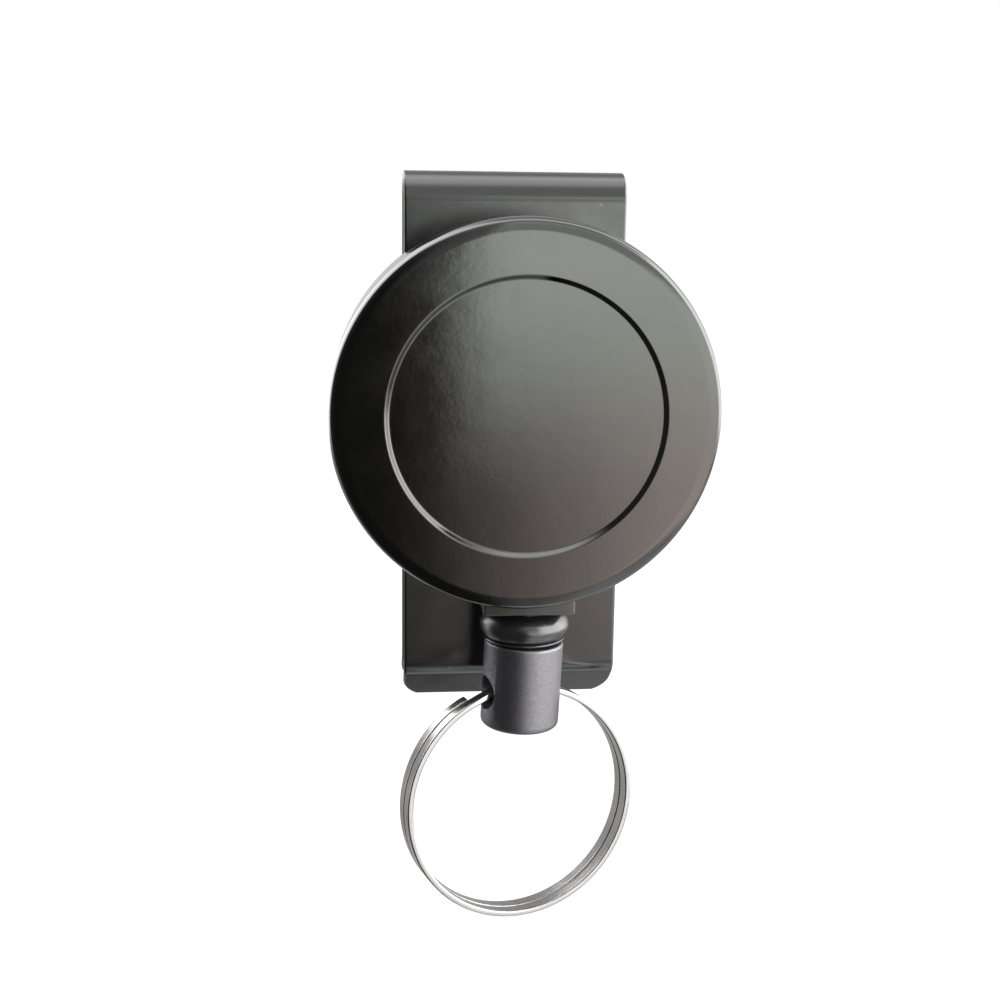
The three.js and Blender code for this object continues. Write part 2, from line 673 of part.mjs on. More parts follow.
// The cord leaves the winding at a tangent, bends over the eyelet and drops straight into the barrel.
function cordTail() {
  const lift = WINDING_RADIUS + CORD_RADIUS + 0.05;
  const angle = Math.acos(lift / Math.hypot(CORD_X, CORD_BEND_Z)) + Math.atan2(CORD_X, -CORD_BEND_Z);
  const start = new THREE.Vector3(lift * Math.sin(angle), CORD_Y, -lift * Math.cos(angle));
  const bend = new THREE.Vector3(CORD_X, CORD_Y, CORD_BEND_Z);
  const before = start.clone().lerp(bend, 0.82);
  const after = new THREE.Vector3(CORD_X, CORD_Y, CORD_BEND_Z - CORD_BEND_LENGTH);
  const end = new THREE.Vector3(CORD_X, CORD_Y, PIVOT_Z - CORD_END_DROP + 1.8);
  const path = new THREE.CurvePath();
  path.add(new THREE.LineCurve3(start, before));
  path.add(new THREE.QuadraticBezierCurve3(before, bend, after));
  path.add(new THREE.LineCurve3(after, end));
  const section = new THREE.Shape(arc(0, 0, CORD_RADIUS, 0, 315, 7).map(([x, y]) => point(x, y)));
  const settings = { steps: 16, extrudePath: path, bevelEnabled: false };
  const geometry = new THREE.ExtrudeGeometry(section, settings);
  return mesh('cord_tail', geometry, cordBlack);
}

// A fat bead between a narrow neck and a thin lip.
function bumper() {
  const profile = [
    [BUMPER_BORE, BUMPER_BOTTOM_Z],
    [BUMPER_LIP - 0.1, BUMPER_BOTTOM_Z],
    [BUMPER_LIP, BUMPER_BOTTOM_Z + 0.1],
    [BUMPER_LIP, BUMPER_BOTTOM_Z + BUMPER_LIP_HEIGHT],
    ...arc(BUMPER_RADIUS - BUMPER_BEAD, BUMPER_BEAD_Z, BUMPER_BEAD, -55, 75, 8),
    [BUMPER_NECK, BUMPER_TOP_Z],
    [BUMPER_BORE, BUMPER_TOP_Z],
  ];
  return mesh('bumper', turned(profile, INNER_ROUND).translate(CORD_X, CORD_Y, 0), blackPlastic);
}

// The barrel, its ferrule and the ring hang a little off the vertical, turned about this point.
const barrelGroup = new THREE.Group();
barrelGroup.position.set(CORD_X, CORD_Y, PIVOT_Z);
barrelGroup.rotation.y = radians(BARREL_TILT);

function keyBarrel() {
  const top = -BARREL_TOP;
  const bottom = top - BARREL_LENGTH;
  const foot = BARREL_FOOT_ROUND;
  const profile = [
    [0, bottom],
    ...arc(BARREL_RADIUS - foot, bottom + foot, foot, 270, 360, 3),
    [BARREL_RADIUS, top - BARREL_TOP_CHAMFER],
    [BARREL_RADIUS - BARREL_TOP_CHAMFER, top],
    [0, top],
  ];
  const drill = (radius, low, high) => {
    const cylinder = new THREE.CylinderGeometry(radius, radius, high - low, SCREW_ROUND).rotateX(Math.PI / 2);
    return solid(cylinder.translate(0, 0, (low + high) / 2));
  };
  const roof = top - BARREL_ROOF;
  const cross = new THREE.CylinderGeometry(CROSS_HOLE_RADIUS, CROSS_HOLE_RADIUS, 3 * BARREL_RADIUS, 28);
  cross.rotateZ(Math.PI / 2 + radians(RING_SWIVEL)).translate(0, 0, -CROSS_HOLE_DROP);
  let body = solid(turned(profile, 40));
  body = body.subtract(drill(CORD_HOLE, roof - BEYOND, top + BEYOND));
  body = body.subtract(drill(FERRULE_RADIUS + FERRULE_GAP, -CROSS_HOLE_DROP, roof));
  return mesh('key_barrel', toGeometry(body.subtract(solid(cross))), gunmetal);
}

function swivelWasher() {
  const top = -SWIVEL_WASHER_TOP;
  const bottom = top - SWIVEL_WASHER;
  const inner = CORD_HOLE - 0.05;
  const profile = [[inner, bottom], [FERRULE_RADIUS, bottom], [FERRULE_RADIUS, top], [inner, top]];
  return mesh('swivel_washer', turned(profile, SCREW_ROUND), steel);
}

function cordFerrule() {
  const bottom = -CORD_END_DROP - 0.2;
  const bore = CORD_RADIUS + 0.1;
  const profile = [
    [0, bottom],
    [FERRULE_RADIUS - 0.3, bottom],
    [FERRULE_RADIUS, bottom + 0.3],
    [FERRULE_RADIUS, -FERRULE_TOP],
    [bore, -FERRULE_TOP],
    [bore, -CORD_END_DROP + 1.5],
    [0, -CORD_END_DROP + 1.5],
  ];
  return mesh('cord_ferrule', turned(profile, SCREW_ROUND), brass);
}

// Nearly two turns of flat wire: one at the back, a step forward inside the cross hole, and one at the front.
function splitRing() {
  const radius = RING_OUTER_RADIUS - RING_BAND / 2;
  const steps = 110;
  const corners = [[-1, -1], [1, -1], [1, 1], [-1, 1]];
  const positions = [];
  for (let i = 0; i <= steps; i += 1) {
    const degrees = THREE.MathUtils.lerp(RING_BACK_END, RING_FRONT_END, i / steps);
    const offset = (0.5 - THREE.MathUtils.smoothstep(degrees, ...RING_STEP)) * RING_COIL_PITCH;
    const angle = radians(degrees);
    for (const [radial, across] of corners) {
      const r = radius + (radial * RING_BAND) / 2;
      positions.push(r * Math.cos(angle), offset + (across * RING_WIRE) / 2, r * Math.sin(angle));
    }
  }
  const index = [];
  for (let i = 0; i < steps; i += 1) {
    for (let k = 0; k < 4; k += 1) {
      const a = 4 * i + k;
      const b = 4 * i + ((k + 1) % 4);
      index.push(a, b, a + 4, b, b + 4, a + 4);
    }
  }
  const last = 4 * steps;
  index.push(0, 2, 1, 0, 3, 2, last, last + 1, last + 2, last, last + 2, last + 3);
  const geometry = new THREE.BufferGeometry();
  geometry.setAttribute('position', new THREE.Float32BufferAttribute(positions, 3));
  geometry.setIndex(index);
  geometry.computeVertexNormals();
  const ring = mesh('split_ring', geometry, steel);
  ring.position.z = -(RING_TOP_DROP + RING_OUTER_RADIUS - CROSS_HOLE_DROP);
  return ring;
}

const ringGroup = new THREE.Group();
ringGroup.position.z = -CROSS_HOLE_DROP;
ringGroup.rotation.order = 'ZYX';
ringGroup.rotation.set(radians(-RING_LEAN), 0, radians(RING_SWIVEL));

// ---------------------------------------------------------------- the whole reel

const reel = new THREE.Group();
reel.name = 'badge_reel';
reel.add(
  frontCover(),
  rearHousing(),
  outletNozzle(),
  cordEyelet(),
  centrePost(),
  postScrew(),
  retainingRing(),
  thrustWasher(),
  spool(),
  springCover(),
  powerSpring(),
  cordWinding(),
  cordStop(),
  cordTail(),
  bumper(),
  clipPlate(),
  clipLeg(),
  clipRivet('clip_rivet_upper', RIVET_Z[0]),
  clipRivet('clip_rivet_lower', RIVET_Z[1]),
);
screwPlaces.forEach(([x, z], i) => reel.add(caseScrew(`case_screw_${i + 1}`, x, z)));
ringGroup.add(splitRing());
barrelGroup.add(keyBarrel(), swivelWasher(), cordFerrule(), ringGroup);
reel.add(barrelGroup);

export default reel;
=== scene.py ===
"""Looks of a retractable badge reel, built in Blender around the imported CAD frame.

Lengths are metres, in the CAD's frame: the face looks along -Y, +Z is up, and the origin lies on the
reel's axis. Places come from the frame's nodes and joints. The sizes named below are in millimetres,
and the helpers that build meshes take millimetres too.
"""
import json
import math

import bmesh
import bpy
from mathutils import Matrix, Vector


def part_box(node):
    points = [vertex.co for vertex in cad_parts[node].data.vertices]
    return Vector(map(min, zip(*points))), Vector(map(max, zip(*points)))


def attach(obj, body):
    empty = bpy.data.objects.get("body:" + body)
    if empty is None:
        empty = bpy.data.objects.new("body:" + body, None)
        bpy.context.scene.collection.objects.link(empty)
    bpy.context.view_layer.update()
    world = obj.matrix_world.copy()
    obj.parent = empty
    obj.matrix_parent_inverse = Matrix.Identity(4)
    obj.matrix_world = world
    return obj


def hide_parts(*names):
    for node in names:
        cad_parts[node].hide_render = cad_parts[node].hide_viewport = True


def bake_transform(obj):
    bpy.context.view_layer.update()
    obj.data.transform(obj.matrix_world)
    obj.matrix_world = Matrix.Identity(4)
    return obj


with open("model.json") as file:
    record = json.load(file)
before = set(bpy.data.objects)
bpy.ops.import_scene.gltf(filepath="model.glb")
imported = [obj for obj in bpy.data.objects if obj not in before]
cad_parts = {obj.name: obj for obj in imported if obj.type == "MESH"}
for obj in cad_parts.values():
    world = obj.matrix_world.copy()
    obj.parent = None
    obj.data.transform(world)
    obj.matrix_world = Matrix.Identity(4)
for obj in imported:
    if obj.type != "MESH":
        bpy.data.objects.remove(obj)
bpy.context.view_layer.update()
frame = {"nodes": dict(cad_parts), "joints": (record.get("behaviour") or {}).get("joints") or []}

MM = 0.001

# ---------------------------------------------------------------- sizes, in millimetres

# Case
SHELL = 1.2
CASE_DRAFT = 0.35
RIM_ROLL = 0.62
RIM_ROLL_DEPTH = 1.6
BACK_EDGE = 0.45
BACK_STEP = 0.2
BACK_STEP_RADIUS = 18.0
SHOULDER_WIDTH = 0.8
SHOULDER_DROP = 0.06
SHOULDER_BEND = 4.0
RECESS_RADIUS = 14.5
RECESS_DEPTH = 0.45
RECESS_SLOPE = 0.38
SMALL_EDGE = 0.12
SEAM_GAP = 0.05
INNER_LIP = 0.8
INNER_LIP_GAP = 0.08
PAD_RADIUS = 4.5
PAD_RISE = 0.65
POST_SCREW_HOLE = 1.1
POST_SCREW_HEAD_HOLE = 2.2
SCREW_HEAD_RADIUS = 1.5
SCREW_HEAD_HEIGHT = 0.9
SCREW_HEAD_GAP = 0.15
SCREW_HEAD_SINK = 0.1
SCREW_SHANK = 0.75
SCREW_LENGTH = 5.0
SCREW_TIP = 0.4
SCREW_SLOT_HALF = 0.2
SCREW_SLOT_REACH = 0.95
SCREW_SLOT_DEPTH = 0.5
SCREW_SLOT_EDGE = 0.03

# Outlet
NOZZLE_SHOULDER = 0.7
NOZZLE_SLOT_GAP = 0.1
NOZZLE_EDGE = 0.3
NOZZLE_HOLE_EDGE = 0.08
NOZZLE_BORE = 1.75
EYELET_BORE = 0.75
EYELET_RADIUS = 1.7
EYELET_FLANGE = 2.4
EYELET_FLANGE_HEIGHT = 0.5
EYELET_MOUTH = 1.6
EYELET_MOUTH_DEPTH = 1.6
EYELET_SEAT = 2.5
EYELET_SEAT_DEPTH = 0.6

# Belt clip
SHEET = 0.8
SHEET_EDGE = 0.2
CLIP_CORNER = 3.0
LIP_ANGLE = 50
LIP_BEND_RADIUS = 1.6
LIP_BEND_Z = -30.4
LIP_BEND_START = 0.3
STRAIGHT_HEIGHTS = (12, 0, -12, -24)
RIVET_HEIGHTS = (7.5, -7.5)
RIVET_HEAD_RADIUS = 1.9
RIVET_HEAD_GAP = 0.1
RIVET_INNER_HEAD = 1.7
RIVET_INNER_HEIGHT = 0.6
RIVET_RADIUS = 1.0
RIVET_HOLE = 1.08
RIVET_SINK = 0.5

# Cord end
CORD_RADIUS = 0.5
CORD_BEND_Z = -15.9
CORD_BEND_LENGTH = 1.6
CORD_SIDES = 20
BRAID_PITCH = 0.7
BUMPER_BEAD = 1.5
BUMPER_BEAD_DROP = 2.0
BUMPER_BEAD_START = -52
BUMPER_BEAD_SWEEP = 130
BUMPER_LIP = 4.4
BUMPER_NECK = 3.3
BUMPER_BORE = 0.56
BARREL_RADIUS = 4.3
BARREL_TOP = -0.12
BARREL_BOTTOM = -9.75
BARREL_FOOT_ROUND = 0.7
BARREL_TOP_ROUND = 0.3
BARREL_ROOF = -1.6
CROSS_HOLE_RADIUS = 1.9
CORD_BORE = 0.8
FERRULE_BORE = 1.65
FERRULE_RADIUS = 1.5
FERRULE_HOLE = 0.55
FERRULE_TOP = -2.0
FERRULE_FLOOR = -4.2
FERRULE_BOTTOM = -4.3
FERRULE_GROOVES = (-3.5, -2.8)
FERRULE_GROOVE_RADIUS = 1.35
RING_OUTER_RADIUS = 13.2
RING_BAND = 0.65
RING_WIRE = 1.5
RING_EDGE = 0.16
RING_COIL_PITCH = 1.6
RING_STEPS = 300

# Angles along the ring's wire, in degrees
RING_BACK_END = 118
RING_STEP_START = 446
RING_STEP_END = 477
RING_FRONT_END = 800

# How many sides round shapes have
ROUND = 160
SMALL_ROUND = 64


# ---------------------------------------------------------------- places, from the frame

def box_mm(node):
    """Lowest and highest corner of a CAD node, in millimetres."""
    low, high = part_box(node)
    return low / MM, high / MM


def joint(name):
    """A joint's place and axis."""
    found = next(j for j in frame["joints"] if j["name"] == name)
    return Vector(found["pos_m"]), Vector(found["axis"]).normalized()


cover_low, cover_high = box_mm("front_cover")
back_low, back_high = box_mm("rear_housing")
plate_low, plate_high = box_mm("clip_plate")
CASE_RADIUS = (cover_high.x - cover_low.x) / 2
FACE_Y = cover_low.y
SEAM_Y = cover_high.y
CASE_BACK_Y = back_high.y
PLATE_FRONT_Y = plate_low.y
CLIP_HALF_WIDTH = (plate_high.x - plate_low.x) / 2
CLIP_TOP_Z = plate_high.z
CLIP_BOTTOM_Z = plate_low.z
FOLD_Z = CLIP_TOP_Z + PLATE_FRONT_Y

swivel_place, swivel_axis = joint("barrel_swivel")
hole_place, hole_axis = joint("ring_swing")


def frame_at(place, up, side):
    """A local frame with its Z along up and its X as near to side as it can be."""
    z = up.normalized()
    y = z.cross(side).normalized()
    x = y.cross(z)
    return Matrix.Translation(place) @ Matrix((x, y, z)).transposed().to_4x4()


CORD_FRAME = Matrix.Translation((swivel_place.x, swivel_place.y, 0))
BARREL_FRAME = frame_at(swivel_place, swivel_axis, hole_axis)
ring_low, ring_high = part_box("split_ring")
RING_FRAME = frame_at((ring_low + ring_high) / 2, hole_place - (ring_low + ring_high) / 2, hole_axis)
REEL_FRAME = Matrix.Rotation(-math.pi / 2, 4, "X")


# ---------------------------------------------------------------- camera

CAMERA_PLACE = Vector((-18.4, -168.6, 24.4)) * MM
CAMERA_AZIMUTH = math.radians(5.89)
CAMERA_ELEVATION = math.radians(-12.13)
CAMERA_ROLL = math.radians(0.78)
CAMERA_LENS = 54.8


def make_camera():
    """The camera, at the photograph's place and angle."""
    across = math.cos(CAMERA_ELEVATION)
    forward = Vector((
        math.sin(CAMERA_AZIMUTH) * across,
        math.cos(CAMERA_AZIMUTH) * across,
        math.sin(CAMERA_ELEVATION),
    ))
    level = Vector((math.cos(CAMERA_AZIMUTH), -math.sin(CAMERA_AZIMUTH), 0))
    above = level.cross(forward)
    right = level * math.cos(CAMERA_ROLL) + above * math.sin(CAMERA_ROLL)
    up = above * math.cos(CAMERA_ROLL) - level * math.sin(CAMERA_ROLL)
    data = bpy.data.cameras.new("camera")
    data.lens = CAMERA_LENS
    data.sensor_width = 36
    data.clip_start = 0.01
    camera = bpy.data.objects.new("camera", data)
    bpy.context.scene.collection.objects.link(camera)
    turn = Matrix((right, up, -forward)).transposed().to_4x4()
    camera.matrix_world = Matrix.Translation(CAMERA_PLACE) @ turn
    bpy.context.scene.camera = camera


make_camera()


# ---------------------------------------------------------------- mesh helpers

GUARD = 0.12
SHARP_ANGLE = math.radians(32)
WEAR_START = math.radians(8)
WEAR_RANGE = math.radians(20)


def rounded(corners, steps=6):
    """Points of a closed outline. Each corner is (across, along, radius), and a rounded one becomes an arc.

    A guard point on each side of an arc keeps the flats beside it flat in the shading.
    """
    points = []
    count = len(corners)
    for i, (across, along, radius) in enumerate(corners):
        here = Vector((across, along))
        if radius == 0:
            points.append(here)
            continue
        before = Vector(corners[i - 1][:2]) - here
        after = Vector(corners[(i + 1) % count][:2]) - here
        half = before.angle(after) / 2
        run = radius / math.tan(half)
        before.normalize()
        after.normalize()
        middle = (before + after).normalized()
        centre = here + middle * (radius / math.sin(half))
        start = here + before * run - centre
        turn = start.angle_signed(here + after * run - centre)
        points.append(here + before * (run + GUARD))
        for k in range(steps + 1):
            points.append(centre + Matrix.Rotation(-turn * k / steps, 2) @ start)
        points.append(here + after * (run + GUARD))
    return [(p.x, p.y) for p in points]


def finish_mesh(name, vertices, faces, place=Matrix.Identity(4)):
    """A piece from vertices in millimetres, with its faces turned outwards and its edges marked."""
    mesh = bpy.data.meshes.new(name)
    mesh.from_pydata([tuple(c * MM for c in v) for v in vertices], [], faces)
    piece = bpy.data.objects.new(name, mesh)
    bpy.context.scene.collection.objects.link(piece)
    piece.matrix_world = place
    clean(piece)
    return piece


def clean(piece):
    """Merges doubled points, turns the faces outwards, sets the shading and marks the edges."""
    mesh = piece.data
    work = bmesh.new()
    work.from_mesh(mesh)
    bmesh.ops.remove_doubles(work, verts=work.verts, dist=1e-7)
    bmesh.ops.dissolve_degenerate(work, edges=work.edges, dist=1e-8)
    bmesh.ops.recalc_face_normals(work, faces=work.faces)
    wear = []
    for vertex in work.verts:
        bends = [e.calc_face_angle(0) for e in vertex.link_edges if e.is_convex]
        wear.append(min(1, max(0, max(bends, default=0) - WEAR_START) / WEAR_RANGE))
    work.to_mesh(mesh)
    work.free()
    attribute = mesh.attributes.get("wear") or mesh.attributes.new("wear", "FLOAT", "POINT")
    attribute.data.foreach_set("value", wear)
    mesh.shade_smooth()
    mesh.set_sharp_from_angle(angle=SHARP_ANGLE)


def lathe(name, outline, place=REEL_FRAME, segments=ROUND):
    """A piece turned about the place's Z, from a closed outline of (radius, height) points."""
    vertices = []
    rings = []
    for radius, height in outline:
        count = 1 if radius == 0 else segments
        rings.append([len(vertices) + i for i in range(count)])
        for i in range(count):
            angle = 2 * math.pi * i / segments
            vertices.append((radius * math.cos(angle), radius * math.sin(angle), height))
    faces = []
    for lower, upper in zip(rings, rings[1:] + rings[:1]):
        if len(lower) == len(upper) == 1:
            continue
        for i in range(segments):
            j = (i + 1) % segments
            low_pair = [lower[i % len(lower)], lower[j % len(lower)]]
            high_pair = [upper[j % len(upper)], upper[i % len(upper)]]
            faces.append(list(dict.fromkeys(low_pair + high_pair)))
    return finish_mesh(name, vertices, faces, place)


def skin(name, loops, place=Matrix.Identity(4)):
    """A piece with a skin over closed loops of points, and a cap at each end."""
    size = len(loops[0])
    vertices = [p for loop in loops for p in loop]
    faces = [list(range(size)), [len(vertices) - 1 - i for i in range(size)]]
    for k in range(len(loops) - 1):
        for i in range(size):
            j = (i + 1) % size
            faces.append([k * size + i, k * size + j, (k + 1) * size + j, (k + 1) * size + i])
    return finish_mesh(name, vertices, faces, place)


def block(name, low, high, edge=0.0, place=Matrix.Identity(4)):
    """A box between two corners in millimetres, with rounded edges."""
    work = bmesh.new()
    bmesh.ops.create_cube(work, size=1)
    for vertex in work.verts:
        for k in range(3):
            vertex.co[k] = (low[k] if vertex.co[k] < 0 else high[k]) * MM
    if edge:
        edges = work.edges[:]
        bmesh.ops.bevel(work, geom=edges, offset=edge * MM, segments=4, profile=0.5, affect="EDGES")
    mesh = bpy.data.meshes.new(name)
    work.to_mesh(mesh)
    work.free()
    piece = bpy.data.objects.new(name, mesh)
    bpy.context.scene.collection.objects.link(piece)
    piece.matrix_world = place
    clean(piece)
    return piece


def rod(radius, start, end, place=REEL_FRAME, segments=SMALL_ROUND):
    """A plain cylinder along the place's Z, to cut with."""
    outline = [(0, start), (radius, start), (radius, end), (0, end)]
    return lathe("cutter", outline, place, segments)


def cut(piece, cutters, bevel=0.0):
    """Cuts the cutters out of the piece, rounds the new edges a little, and removes the cutters."""
    for cutter in cutters:
        modifier = piece.modifiers.new("cut", "BOOLEAN")
        modifier.operation = "DIFFERENCE"
        modifier.solver = "EXACT"
        modifier.object = cutter
    if bevel:
        modifier = piece.modifiers.new("edge", "BEVEL")
        modifier.width = bevel * MM
        modifier.segments = 2
        modifier.limit_method = "ANGLE"
        modifier.angle_limit = math.radians(40)
        modifier.use_clamp_overlap = True
    bpy.context.view_layer.update()
    made = bpy.data.meshes.new_from_object(piece.evaluated_get(bpy.context.evaluated_depsgraph_get()))
    piece.modifiers.clear()
    piece.data = made
    for cutter in cutters:
        bpy.data.objects.remove(cutter)
    clean(piece)


def at(x, y, z):
    """A frame along the reel's axis at a place in millimetres."""
    return Matrix.Translation(Vector((x, y, z)) * MM) @ REEL_FRAME


# ---------------------------------------------------------------- materials

def add(tree, kind, **settings):
    """A new node. A setting named like a socket sets or links it, and any other is the node's property."""
    made = tree.nodes.new(kind)
    links = settings.pop("inputs", {})
    for key, value in settings.items():
        setattr(made, key, value)
    for key, value in links.items():
        if isinstance(value, bpy.types.NodeSocket):
            tree.links.new(value, made.inputs[key])
        else:
            made.inputs[key].default_value = value
    return made


def noise(tree, where, wave, detail=2.0, rough=0.5):
    """Noise between 0 and 1 whose features are about wave millimetres across."""
    inputs = {"Vector": where, "Scale": 1 / (wave * MM), "Detail": detail, "Roughness": rough}
    return add(tree, "ShaderNodeTexNoise", inputs=inputs).outputs["Fac"]


def ramp(tree, value, low, high, to_low=0.0, to_high=1.0):
    """The value's range from low to high, spread from to_low to to_high and held there."""
    inputs = {"Value": value, "From Min": low, "From Max": high, "To Min": to_low, "To Max": to_high}
    return add(tree, "ShaderNodeMapRange", interpolation_type="SMOOTHSTEP", inputs=inputs).outputs["Result"]


def maths(tree, operation, a, b=0.0):
    return add(tree, "ShaderNodeMath", operation=operation, inputs={0: a, 1: b}).outputs[0]


def mixed(tree, share, a, b):
    """Colour a, turning into colour b as share goes to 1."""
    made = add(tree, "ShaderNodeMix", data_type="RGBA")
    for socket, value in ((made.inputs[0], share), (made.inputs[6], a), (made.inputs[7], b)):
        if isinstance(value, bpy.types.NodeSocket):
            tree.links.new(value, socket)
        else:
            socket.default_value = value
    return made.outputs[2]


def grey(value, tint=(1, 1, 1)):
    return (value * tint[0], value * tint[1], value * tint[2], 1)


def specks(tree, where, cell, size, share):
    """A mask of round specks up to size millimetres across, in a share of the cells."""
    inputs = {"Vector": where, "Scale": 1 / (cell * MM)}
    cells = add(tree, "ShaderNodeTexVoronoi", inputs=inputs)
    chance = add(tree, "ShaderNodeSeparateColor", inputs={"Color": cells.outputs["Color"]})
    there = maths(tree, "LESS_THAN", chance.outputs["Red"], share)
    reach = maths(tree, "MULTIPLY", chance.outputs["Green"], size / cell / 2)
    inside = maths(tree, "LESS_THAN", cells.outputs["Distance"], reach)
    return maths(tree, "MULTIPLY", there, inside)


def surface(
    name,
    dark,
    light,
    roughness,
    bumps,
    metallic=0.0,
    cloud=6.0,
    stretch=(1, 1, 1),
    wear=None,
    dust=0.0,
    ior=1.5,
):
    """A procedural finish.

    dark and light are the colours that clouds of cloud millimetres mix, roughness is its range, and bumps
    lists (wave, height) in millimetres. stretch scales the pattern along each axis, wear is the colour of
    worn edges, and dust the share of cells with a speck.
    """
    material = bpy.data.materials.new(name)
    material.use_nodes = True
    tree = material.node_tree
    shader = tree.nodes["Principled BSDF"]
    place = add(tree, "ShaderNodeTexCoord").outputs["Object"]
    drawn = add(tree, "ShaderNodeMapping", inputs={"Vector": place, "Scale": stretch}).outputs["Vector"]
    colour = mixed(tree, noise(tree, place, cloud, 3), dark, light)
    blotch = noise(tree, place, cloud * 0.6, 4, 0.6)
    fine = noise(tree, drawn, 0.35, 3)
    rough = maths(tree, "MULTIPLY_ADD", blotch, 0.7)
    rough.node.inputs[2].default_value = 0
    tree.links.new(maths(tree, "MULTIPLY", fine, 0.3), rough.node.inputs[2])
    rough = ramp(tree, rough, 0.3, 0.7, *roughness)
    if wear:
        edge = add(tree, "ShaderNodeAttribute", attribute_name="wear").outputs["Fac"]
        patch = ramp(tree, noise(tree, place, 1.1, 4, 0.7), 0.42, 0.66)
        colour = mixed(tree, maths(tree, "MULTIPLY", edge, patch), colour, wear)
    if dust:
        speck = specks(tree, place, 2.3, 0.32, dust)
        fluff = specks(tree, place, 0.9, 0.07, dust * 0.5)
        mask = maths(tree, "MULTIPLY", maths(tree, "MAXIMUM", speck, fluff), 0.75)
        colour = mixed(tree, mask, colour, grey(0.42))
        rough = maths(tree, "MAXIMUM", rough, mask)
    tree.links.new(colour, shader.inputs["Base Color"])
    tree.links.new(rough, shader.inputs["Roughness"])
    normal = None
    for wave, height in bumps:
        inputs = {"Height": noise(tree, drawn, wave, 2), "Distance": height * MM, "Strength": 1.0}
        if normal:
            inputs["Normal"] = normal
        normal = add(tree, "ShaderNodeBump", inputs=inputs).outputs["Normal"]
    if normal:
        tree.links.new(normal, shader.inputs["Normal"])
    shader.inputs["Metallic"].default_value = metallic
    shader.inputs["IOR"].default_value = ior
    return material


def braid(name):
    """Braided nylon: crossed strands over a round cord that runs along Z."""
    material = bpy.data.materials.new(name)
    material.use_nodes = True
    tree = material.node_tree
    shader = tree.nodes["Principled BSDF"]
    place = add(tree, "ShaderNodeTexCoord").outputs["Object"]
    parts = add(tree, "ShaderNodeSeparateXYZ", inputs={"Vector": place})
    side = maths(tree, "SUBTRACT", parts.outputs["X"], swivel_place.x)
    depth = maths(tree, "SUBTRACT", parts.outputs["Y"], swivel_place.y)
    angle = maths(tree, "MULTIPLY", maths(tree, "ARCTAN2", depth, side), 4)
    climb = maths(tree, "MULTIPLY", parts.outputs["Z"], 2 * math.pi / (BRAID_PITCH * MM))
    strands = []
    for operation in ("ADD", "SUBTRACT"):
        strands.append(maths(tree, "ABSOLUTE", maths(tree, "SINE", maths(tree, operation, climb, angle))))
    weave_and_groove_shade = maths(tree, "MULTIPLY", *strands)
    fibre = noise(tree, place, 0.06, 3)
    height = maths(tree, "ADD", weave_and_groove_shade, maths(tree, "MULTIPLY", fibre, 0.3))
    bump = add(tree, "ShaderNodeBump", inputs={"Height": height, "Distance": 0.05 * MM, "Strength": 1.0})
    tree.links.new(bump.outputs["Normal"], shader.inputs["Normal"])
    # The colour follows the weave: darker in the grooves between strands and lighter on their crowns, which
    # is painted shade in the grooves.
    tree.links.new(mixed(tree, weave_and_groove_shade, grey(0.006), grey(0.03)), shader.inputs["Base Color"])
    tree.links.new(ramp(tree, fibre, 0.2, 0.8, 0.55, 0.85), shader.inputs["Roughness"])
    shader.inputs["Sheen Weight"].default_value = 0.4
    return material


CASE_PAINT = surface(
    "case_paint", grey(0.0035), grey(0.005, (1, 0.98, 0.9)), (0.06, 0.1),
    [(0.55, 0.0018), (0.16, 0.0006), (6, 0.012)], wear=grey(0.012), dust=0.22, ior=1.9,
)
CLIP_PAINT = surface(
    "clip_paint", grey(0.004), grey(0.006, (0.95, 0.97, 1.05)), (0.17, 0.23),
    [(0.4, 0.0014), (0.14, 0.0005), (9, 0.009)], wear=grey(0.02), dust=0.08, ior=1.85,
)
NOZZLE_PAINT = surface(
    "nozzle_paint", grey(0.022, (1.15, 0.97, 0.86)), grey(0.036, (1.2, 0.97, 0.84)), (0.3, 0.4),
    [(0.3, 0.0025), (0.1, 0.001)], wear=grey(0.06), dust=0.2, ior=1.7,
)
BUMPER_PLASTIC = surface(
    "bumper_plastic", grey(0.011), grey(0.017, (0.95, 0.97, 1.1)), (0.24, 0.32),
    [(0.5, 0.002), (0.12, 0.0008)], wear=grey(0.015), dust=0.25, ior=1.8,
)
GUNMETAL = surface(
    "gunmetal", grey(0.13, (0.98, 0.96, 1.04)), grey(0.24, (1, 0.97, 1.03)), (0.4, 0.52),
    [(0.24, 0.0055), (0.09, 0.003), (1.6, 0.006)], metallic=1.0, cloud=0.3, wear=grey(0.36), dust=0.2,
)
RING_STEEL = surface(
    "ring_steel", grey(0.33, (1, 0.98, 0.98)), grey(0.42, (1, 0.99, 0.99)), (0.16, 0.26),
    [(0.5, 0.002), (0.12, 0.0006)], metallic=1.0, cloud=3.0, wear=grey(0.5),
)
SCREW_STEEL = surface(
    "screw_steel", grey(0.5), grey(0.62), (0.2, 0.36),
    [(0.15, 0.0012)], metallic=1.0, cloud=1.2, wear=grey(0.75),
)
RIVET_STEEL = surface(
    "rivet_steel", grey(0.16), grey(0.26, (1, 0.97, 0.93)), (0.28, 0.45),
    [(0.2, 0.002)], metallic=1.0, cloud=1.5, wear=grey(0.5),
)
SPRING_STEEL = surface(
    "spring_steel", grey(0.28, (0.85, 0.95, 1.15)), grey(0.42, (0.95, 1, 1.08)), (0.2, 0.34),
    [(0.3, 0.001)], metallic=1.0, cloud=4.0, stretch=(0.2, 1, 0.2),
)
ACETAL = surface(
    "acetal", grey(0.66, (1, 0.99, 0.95)), grey(0.74, (1, 0.99, 0.96)), (0.42, 0.56),
    [(0.3, 0.002)], cloud=5.0,
)
BRASS = surface(
    "brass", (0.48, 0.33, 0.11, 1), (0.66, 0.48, 0.2, 1), (0.2, 0.36),
    [(0.2, 0.0012)], metallic=1.0, cloud=1.6, stretch=(1, 1, 4), wear=(0.85, 0.68, 0.36, 1),
)
